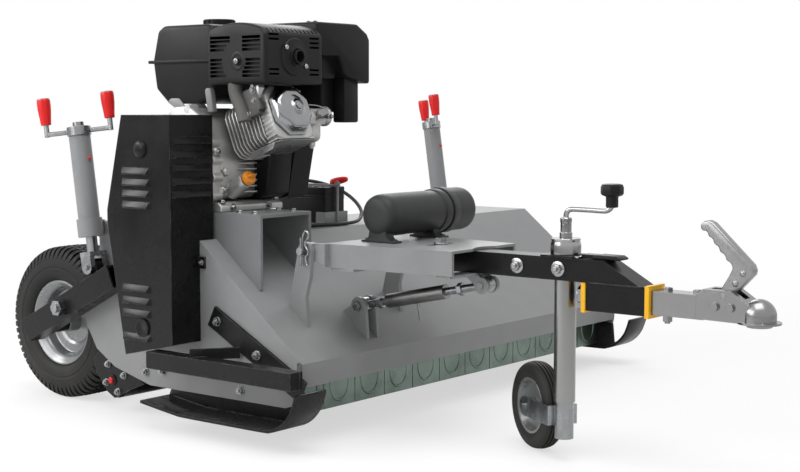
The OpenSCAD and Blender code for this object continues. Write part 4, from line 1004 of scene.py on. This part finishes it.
flange_face, bracket_face = -84.6, -599
elbow_line = [(-222, 742), (-226, 756), (-233, 774), (-243, 792), (-251, 810), (-254, 828), (-254, 838)]
elbow = bent_bar("elbow", [mm(x, -600, z) for x, z in elbow_line], 19, 5, 5)
flange = slab("elbow_flange", "Y", flange_face, [(184, 22), (196, 8), (226, 6), (239, 18), (240, 58),
                                                 (228, 72), (198, 74), (185, 62)], 15, 3, 3, place=on_head)
fit("cast_elbow", [elbow, flange], "deck", "cast_exhaust")
bracket = [slab("bracket", "Y", bracket_face, [(-206, 778), (-182, 778), (-180, 836), (-208, 836)], 3, 1, 2),
           slab("bracket_lip", "X", -182, [(bracket_face, 778), (-578, 790), (-578, 836),
                                           (bracket_face, 836)],
                3, 1, 2)]
bracket += [hex_bolt(on_head(x, flange_face, z), RIGHT) for x, z in ((194, 16), (230, 64))]
bracket += [hex_bolt(mm(-194, bracket_face, z), RIGHT, 6) for z in (790, 826)]
fit_bright("guard_bracket", bracket, "deck")

# %% [markdown]
# The cylinder is an aluminium casting. Thin fins with round corners stand across its axis and give the heat
# to the air; a plainer head block closes it, and a sheet under it guides the cooling air. Each fin is a slab
# in the tilted frame of the head, and the barrel inside is a turned part.

# %% Cylinder fins and head
def rounded(half_y, low_z, high_z, cut):
    """A rectangle across the cylinder with its corners cut twice, so that they read as round."""
    small = cut * 0.35
    flank = [(half_y - cut, low_z), (half_y - small, low_z + small), (half_y, low_z + cut),
             (half_y, high_z - cut), (half_y - small, high_z - small), (half_y - cut, high_z)]
    return flank[2:] + [(-y, z) for y, z in reversed(flank)] + flank[:2]


fin_first, fin_pitch, rib_first, rib_pitch = 98, 12, -66, 11
fins = [slab("fin", "X", fin_first + i * fin_pitch, rounded(66, -66, 67, 26), 3.6, 1.2, 2, 50, place=on_head)
        for i in range(10)]
barrel = turned("barrel", [(0, 94), (52, 94), (52, 216), (0, 216)], head_foot, along, 40)
block = slab("head_block", "X", 213, rounded(65, -67, 69, 22), 34, 4, 3, 40, place=on_head)
ribs = [slab("head_rib", "Z", rib_first + rib_pitch * i, box_line(214, 244, -66, 66), 3.5, place=on_head)
        for i in range(12)]
fit("finned_cylinder", [barrel, block] + fins + ribs, "deck", "cast_aluminium", ["cylinder"])
guide_line = [(152, -70), (238, -70), (250, -58), (250, 58), (238, 70), (152, 70)]
guide = slab("air_guide", "Z", -70, guide_line, -2.2, place=on_head)
guide_lip = slab("guide_lip", "Y", -70, [(152, -84), (226, -84), (238, -70), (152, -66)], 2.2, place=on_head)
guide = join([guide, guide_lip])
soften(guide, 0.9, 2)
fit("air_guide", [guide], "deck", "gray_paint", (), "silver_rim")

# %% [markdown]
# The crankcase is cast as well: a flanged near half with round bosses along its edge, a body set in behind
# it with cooling ribs and the slanted filler neck, and a foot that is bolted to the stand. Slabs with wide
# bevels make the body, turned parts the bearing cover, bosses and neck.

# %% Crankcase
case_face, case_x, case_z, foot_front = -646, -390, 655, -271
case_edge = [(-486, 560), (-476, 546), (-302, 546), (-291, 558), (-291, 640), (-300, 690), (-330, 752),
             (-376, 779), (-420, 776), (-466, 742), (-486, 690)]
inner_edge = [(case_x + (x - case_x) * 0.93, case_z + (z - case_z) * 0.95) for x, z in case_edge]
near_half = slab("near_half", "Y", case_face, case_edge, 30, 4, 3, 20)
body = slab("body", "Y", -622, inner_edge, 134, 10, 3, 20)
cover = turned("bearing_cover", [(0, 0.4), (46, 0.4), (52, 2.5), (56, 6), (70, 6.5), (74, 9), (76, 14),
                                 (0, 14)],
               mm(-386, case_face - 0.4, 676), LEFT, 48)
ribs = [slab("rib", "Z", z, [(-310, -552), (-277, -548), (-274, -508), (-310, -500)], 4, 1.2, 2)
        for z in range(566, 637, 14)]
neck_lean = math.radians(60)
neck_way = Vector((math.sin(neck_lean), 0, math.cos(neck_lean)))
neck_foot = mm(-266, -570, 590)
neck = turned("filler_neck", [(12.2, -44), (21, -44), (19, -20), (17.4, -4), (18.4, 0), (18.4, 14), (17, 16),
                              (12.2, 16)], neck_foot, neck_way, 32)
edge_bosses = [(-296, 562), (-293, 606), (-294, 648), (-303, 690), (-330, 746), (-376, 771)]
bosses = [turned("boss", [(0, 0), (9, 0), (10.5, 1.5), (11.5, 30), (0, 30)], mm(x, case_face - 0.2, z),
                 LEFT, 20)
          for x, z in edge_bosses]
bosses += [turned("front_boss", [(0, 14), (7, 14), (8.5, 12.5), (11, 0), (0, 0)], mm(-298, y, z), AHEAD, 20)
           for y, z in ((-632, 668), (-600, 618), (-610, 575))]
foot = slab("foot", "Y", -636, [(-496, 522.2), (foot_front, 522.2), (foot_front, 536), (-282, 545),
                                (-484, 545), (-496, 536)], 216, 2.5, 3)
fit("cast_crankcase", [near_half, body, cover, neck, foot] + ribs + bosses, "deck", "cast_aluminium",
    ["crankcase"])

# %% [markdown]
# A black shroud closes the gap between crankcase and blower, and hexagon bolts hold the case, its foot and
# the engine as a whole.

# %% Shroud and engine bolts
shroud_line = [(-316, 724), (-262, 706), (-240, 676), (-258, 560), (-286, 546.5), (-440, 546.5), (-440, 700)]
shroud = slab("lower_shroud", "Y", -492, shroud_line, 82, 5, 3, 20)
fit("lower_shroud", [shroud], "deck", "black_heat_paint")
bolts = [hex_bolt(mm(x, case_face - 0.4, z), RIGHT, 5.5, 7.5, 5)
         for x, z in edge_bosses[:1] + edge_bosses[2:5]]
bolts += [hex_bolt(mm(-284, y, z), AHEAD, 5.5, 8, 5) for y, z in ((-632, 668), (-610, 575))]
bolts += [hex_bolt(mm(foot_front - 0.4, y, 532), AHEAD, 6.5, 10) for y in (-596, -470)]
bolts += [hex_bolt(mm(-281, y, 544.6), UP, 6.5, 9) for y in (-622, -436)]
bolts += [hex_bolt(mm(x, y, 521.8), UP, 6.5, 10) for x in (-176, -226) for y in (-618, -484)]
fit_bright("engine_bolts", bolts, "deck")

# %% [markdown]
# The oil dipstick has a small orange cap with a round rim and a flat tab to turn it by.

# %% Dipstick cap
tab_half, tab_line = 0.0025, [(-14, 34), (14, 34), (12, 43), (7, 45.6), (-7, 45.6), (-12, 43)]
tab_way = neck_way.cross(LEFT)
cap = turned("dipstick", [(0, -18), (11, -18), (11, 19), (16, 20.4), (17.4, 22), (17.4, 31), (16, 34),
                          (12, 35.6), (0, 36)], neck_foot, neck_way, 32)
tab = plate("tab", [neck_foot + neck_way * h / 1000 + mm(0, y, 0) - tab_way * tab_half for y, h in tab_line],
            tab_way * tab_half * 2)
soften(tab, 1.4, 2)
fit("dipstick_cap", [cap, tab], "oil_dipstick", "orange_plastic", ["oil_dipstick"])

# %% [markdown]
# The carburettor hangs between cylinder and filter: a cast body with a round throat, a float bowl held by
# one bolt, and a throttle lever with its spindle and linkage on top.

# %% Carburettor
throat_x, throat_z = -199, 752
throat = turned("throat", [(0, 0), (26, 0), (26, 8), (19, 12), (18, 40), (21, 50), (21, 62), (18, 70),
                           (19, 96), (25, 101), (25, 109), (0, 109)], mm(throat_x, -449.4, throat_z), LEFT,
                           32)
bowl = turned("bowl", [(0, 0), (6, 0), (6, 5), (9, 6), (9, 16), (17, 20), (21, 26), (22, 34), (22, 56),
                       (24.5, 57), (24.5, 63), (0, 63)], mm(throat_x, -390, 672.2), UP, 32)
lug = slab("lug", "Y", -420, [(-224, 731), (-175, 731), (-173, 752), (-182, 772), (-216, 772), (-225, 752)],
           56, 4, 3)
fit("carburettor_casting", [throat, bowl, lug], "deck", "cast_aluminium", ["carburettor"])
spindle_foot = mm(-178, -380, throat_z)
spindle = turned("spindle", [(0, 0), (5, 0), (5, 38), (4, 40), (0, 40)], spindle_foot, AHEAD, 16)
spindle_nut = turned("spindle_nut", [(0, 26), (8, 26), (8, 32), (0, 33)], spindle_foot, AHEAD, 6)
link_plate = slab("link_plate", "X", -172, [(-402, 742), (-372, 744), (-360, 764), (-366, 773),
                                            (-398, 768)], 2.2)
link_rod = bent_bar("link", [mm(-170, -366, 770), mm(-172, -400, 779), mm(-182, -440, 781), mm(-200, -470,
                                                                                               778)],
                    1.6, 5, 3)
fit_bright("throttle_linkage", [spindle, spindle_nut, link_plate, link_rod], "deck")

# %% [markdown]
# The wheel rims are pressed from steel sheet: a rolled edge that holds the tyre, a stepped well and a dished
# middle with the hub. One turned profile follows all the steps.

# %% Wheel rims
rim_face = [(12.6, 26.2), (25, 26.2), (26, 27.5), (26, 62), (34, 63.5), (58, 63), (62, 60), (66, 57.5),
            (80, 57), (86, 54), (88, 48), (88.5, 33), (92, 28), (98, 22), (103, 19), (109, 12.8),
            (112, 12.2), (113.6, 13.5), (113.6, 17.6), (101.4, 24)]
rim_back = [(101.4, 126), (113.6, 132.2), (113.6, 137), (110, 137.8), (92, 126), (92, 66), (70, 67),
            (30, 71.8), (26, 106), (12.6, 106)]
rim = turned("rim", rim_face + rim_back + [rim_face[0]], wheel, LEFT, 72)
fit_pair("steel_rim", rim, "wheel", "silver_rim", "wheel_rim")

# %% [markdown]
# The skids are bent from flat bar, with a long sole that curls up smoothly at the front, and a web welded
# inside. A smooth line gives the underside; the upper side is the same line moved in by the thickness of the
# bar.

# %% Skids
bar_thickness = 8
sole_points = [(-410, 62), (-350, 54.5), (-290, 47.6), (-260, 45.6), (-120, 46), (0, 46.8), (24, 49.5),
               (48, 58.5), (70, 74), (88, 95.5), (99, 120), (106, 142)]
sole = smooth_path([Vector((x, 0, z)) for x, z in sole_points], 4)
upper = []
for before, here, after in zip([sole[0]] + sole[:-1], sole, sole[1:] + [sole[-1]]):
    way = (after - before).normalized()
    upper.append(here + Vector((-way.z, 0, way.x)) * bar_thickness)
strip = slab("skid_strip", "Y", -781.6, [(p.x, p.z) for p in sole + upper[::-1]], 101.4, 2, 2, 40)
web_line = [(-409, 66), (-272, 50), (14, 51), (50, 67), (44, 128), (-380, 128)]
web = slab("skid_web", "Y", -687.8, web_line, 7.6, 1, 2, 40)
right_skid = join([strip, web])
fit("bent_skids", [right_skid, mirrored(right_skid)], "deck", "black_paint", ["skids"])

# %% [markdown]
# Some small fittings finish the arm: washers and nuts, a bright plate under the bell, a rubber stop and the
# weld seam over the lower tube.

# %% Fittings of the arm
fittings = []
for x in (455, jockey_x):
    place = mm(x, arm_y - 30.2, 427)
    fittings += [turned("washer", [(0, 0), (17, 0), (17, 2.2), (15.5, 2.8), (0, 2.8)], place, RIGHT, 28),
                 turned("nut", [(0, 2.6), (11, 2.6), (11, 10), (9.6, 11.2), (0, 11.2)], place, RIGHT, 6),
                 turned("stub", [(0, 11), (5.6, 11), (5.6, 15), (4.6, 16.4), (0, 16.4)], place, RIGHT, 20)]
fittings.append(slab("bell_plate", "Z", 452.4, box_line(514, 612, arm_y - 28, arm_y + 28), 4, 1.2, 2))
fit_bright("arm_fittings", fittings, "arm")
stop_line = [(638, 452.3), (706, 452.3), (708, 456), (698, 461.5), (650, 462), (640, 458)]
fit("arm_stop", [slab("arm_stop", "Y", arm_y - 20, stop_line, 40, 2.4, 3)], "arm", "black_plastic")
seam_line = [(640, 402), (670, 402.4), (700, 401.8), (735, 402.3), (770, 402)]
seam = bent_bar("arm_seam", [mm(x, arm_y - 30, z) for x, z in seam_line], 2.6, 4, 2)
fit("arm_seam", [seam], "arm", "black_paint")

# %% [markdown]
# Bent straps and a lug carry the tank, and a round red boot with an arm covers the battery terminal.

# %% Tank straps and terminal boot
strap_line = [(-500, 788), (-488, 797), (-458, 797), (-446, 786), (-410, 748), (-458, 748), (-468, 770)]
straps = [slab("tank_strap", "Y", y, [(x + shift, z) for x, z in strap_line], 4, 1.2, 2)
          for y, shift in ((-596, 0), (-540, 16))]
lug_line = [(-356, 816), (-350, 822), (-340, 822), (-334, 815), (-327, 764), (-346, 762)]
straps.append(slab("tank_lug", "Y", -606, lug_line, 16, 3, 3))
fit("tank_straps", straps, "deck", "gray_paint")

boot_x, boot_y, boot_lean, boot_turn = -360, -122, math.radians(78), math.radians(20)
boot_way = Vector((math.sin(boot_lean) * math.cos(boot_turn), math.sin(boot_lean) * math.sin(boot_turn),
                   math.cos(boot_lean)))
boot = turned("boot", [(0, 0.2), (10.5, 0.2), (12, 3), (12, 12), (10.4, 17), (6.5, 19.6), (0, 20)],
              mm(boot_x, boot_y, 561), UP, 24)
boot_arm = turned("boot_arm", [(0, -6), (8.4, -6), (9.6, 2), (10, 14), (9, 26), (7.4, 35), (5, 39.4),
                               (0, 40)],
                  mm(boot_x, boot_y, 573), boot_way, 24)
fit("rubber_boot", [boot, boot_arm], "deck", "red_rubber", ["terminal_boot"])

# %% [markdown]
# Red caps close the ends of the roller shaft, and small red plugs the grease holes of the jacks.

# %% Red caps and plugs
caps = [turned("shaft_cap", [(0, 5), (5.5, 5), (8, 3.4), (8.6, 0), (0, 0)], mm(-619, hand * 692.2, 80),
               LEFT * hand, 24)
        for hand in (-1, 1)]
fit("roller_shaft_caps", caps, "rear_roller", "red_rubber")
for label, foot in jack_feet.items():
    plug = turned("grease_plug", [(0, 6), (2.6, 6), (3.6, 4.6), (4, 0), (0, 0)],
                  foot + jack_up * 0.178 + jack_side * 0.0266, jack_side, 16)
    fit("grease_plug_" + label, [plug], "jack_tube_" + label, "red_rubber")

# %% Update the scene
bpy.context.view_layer.update()
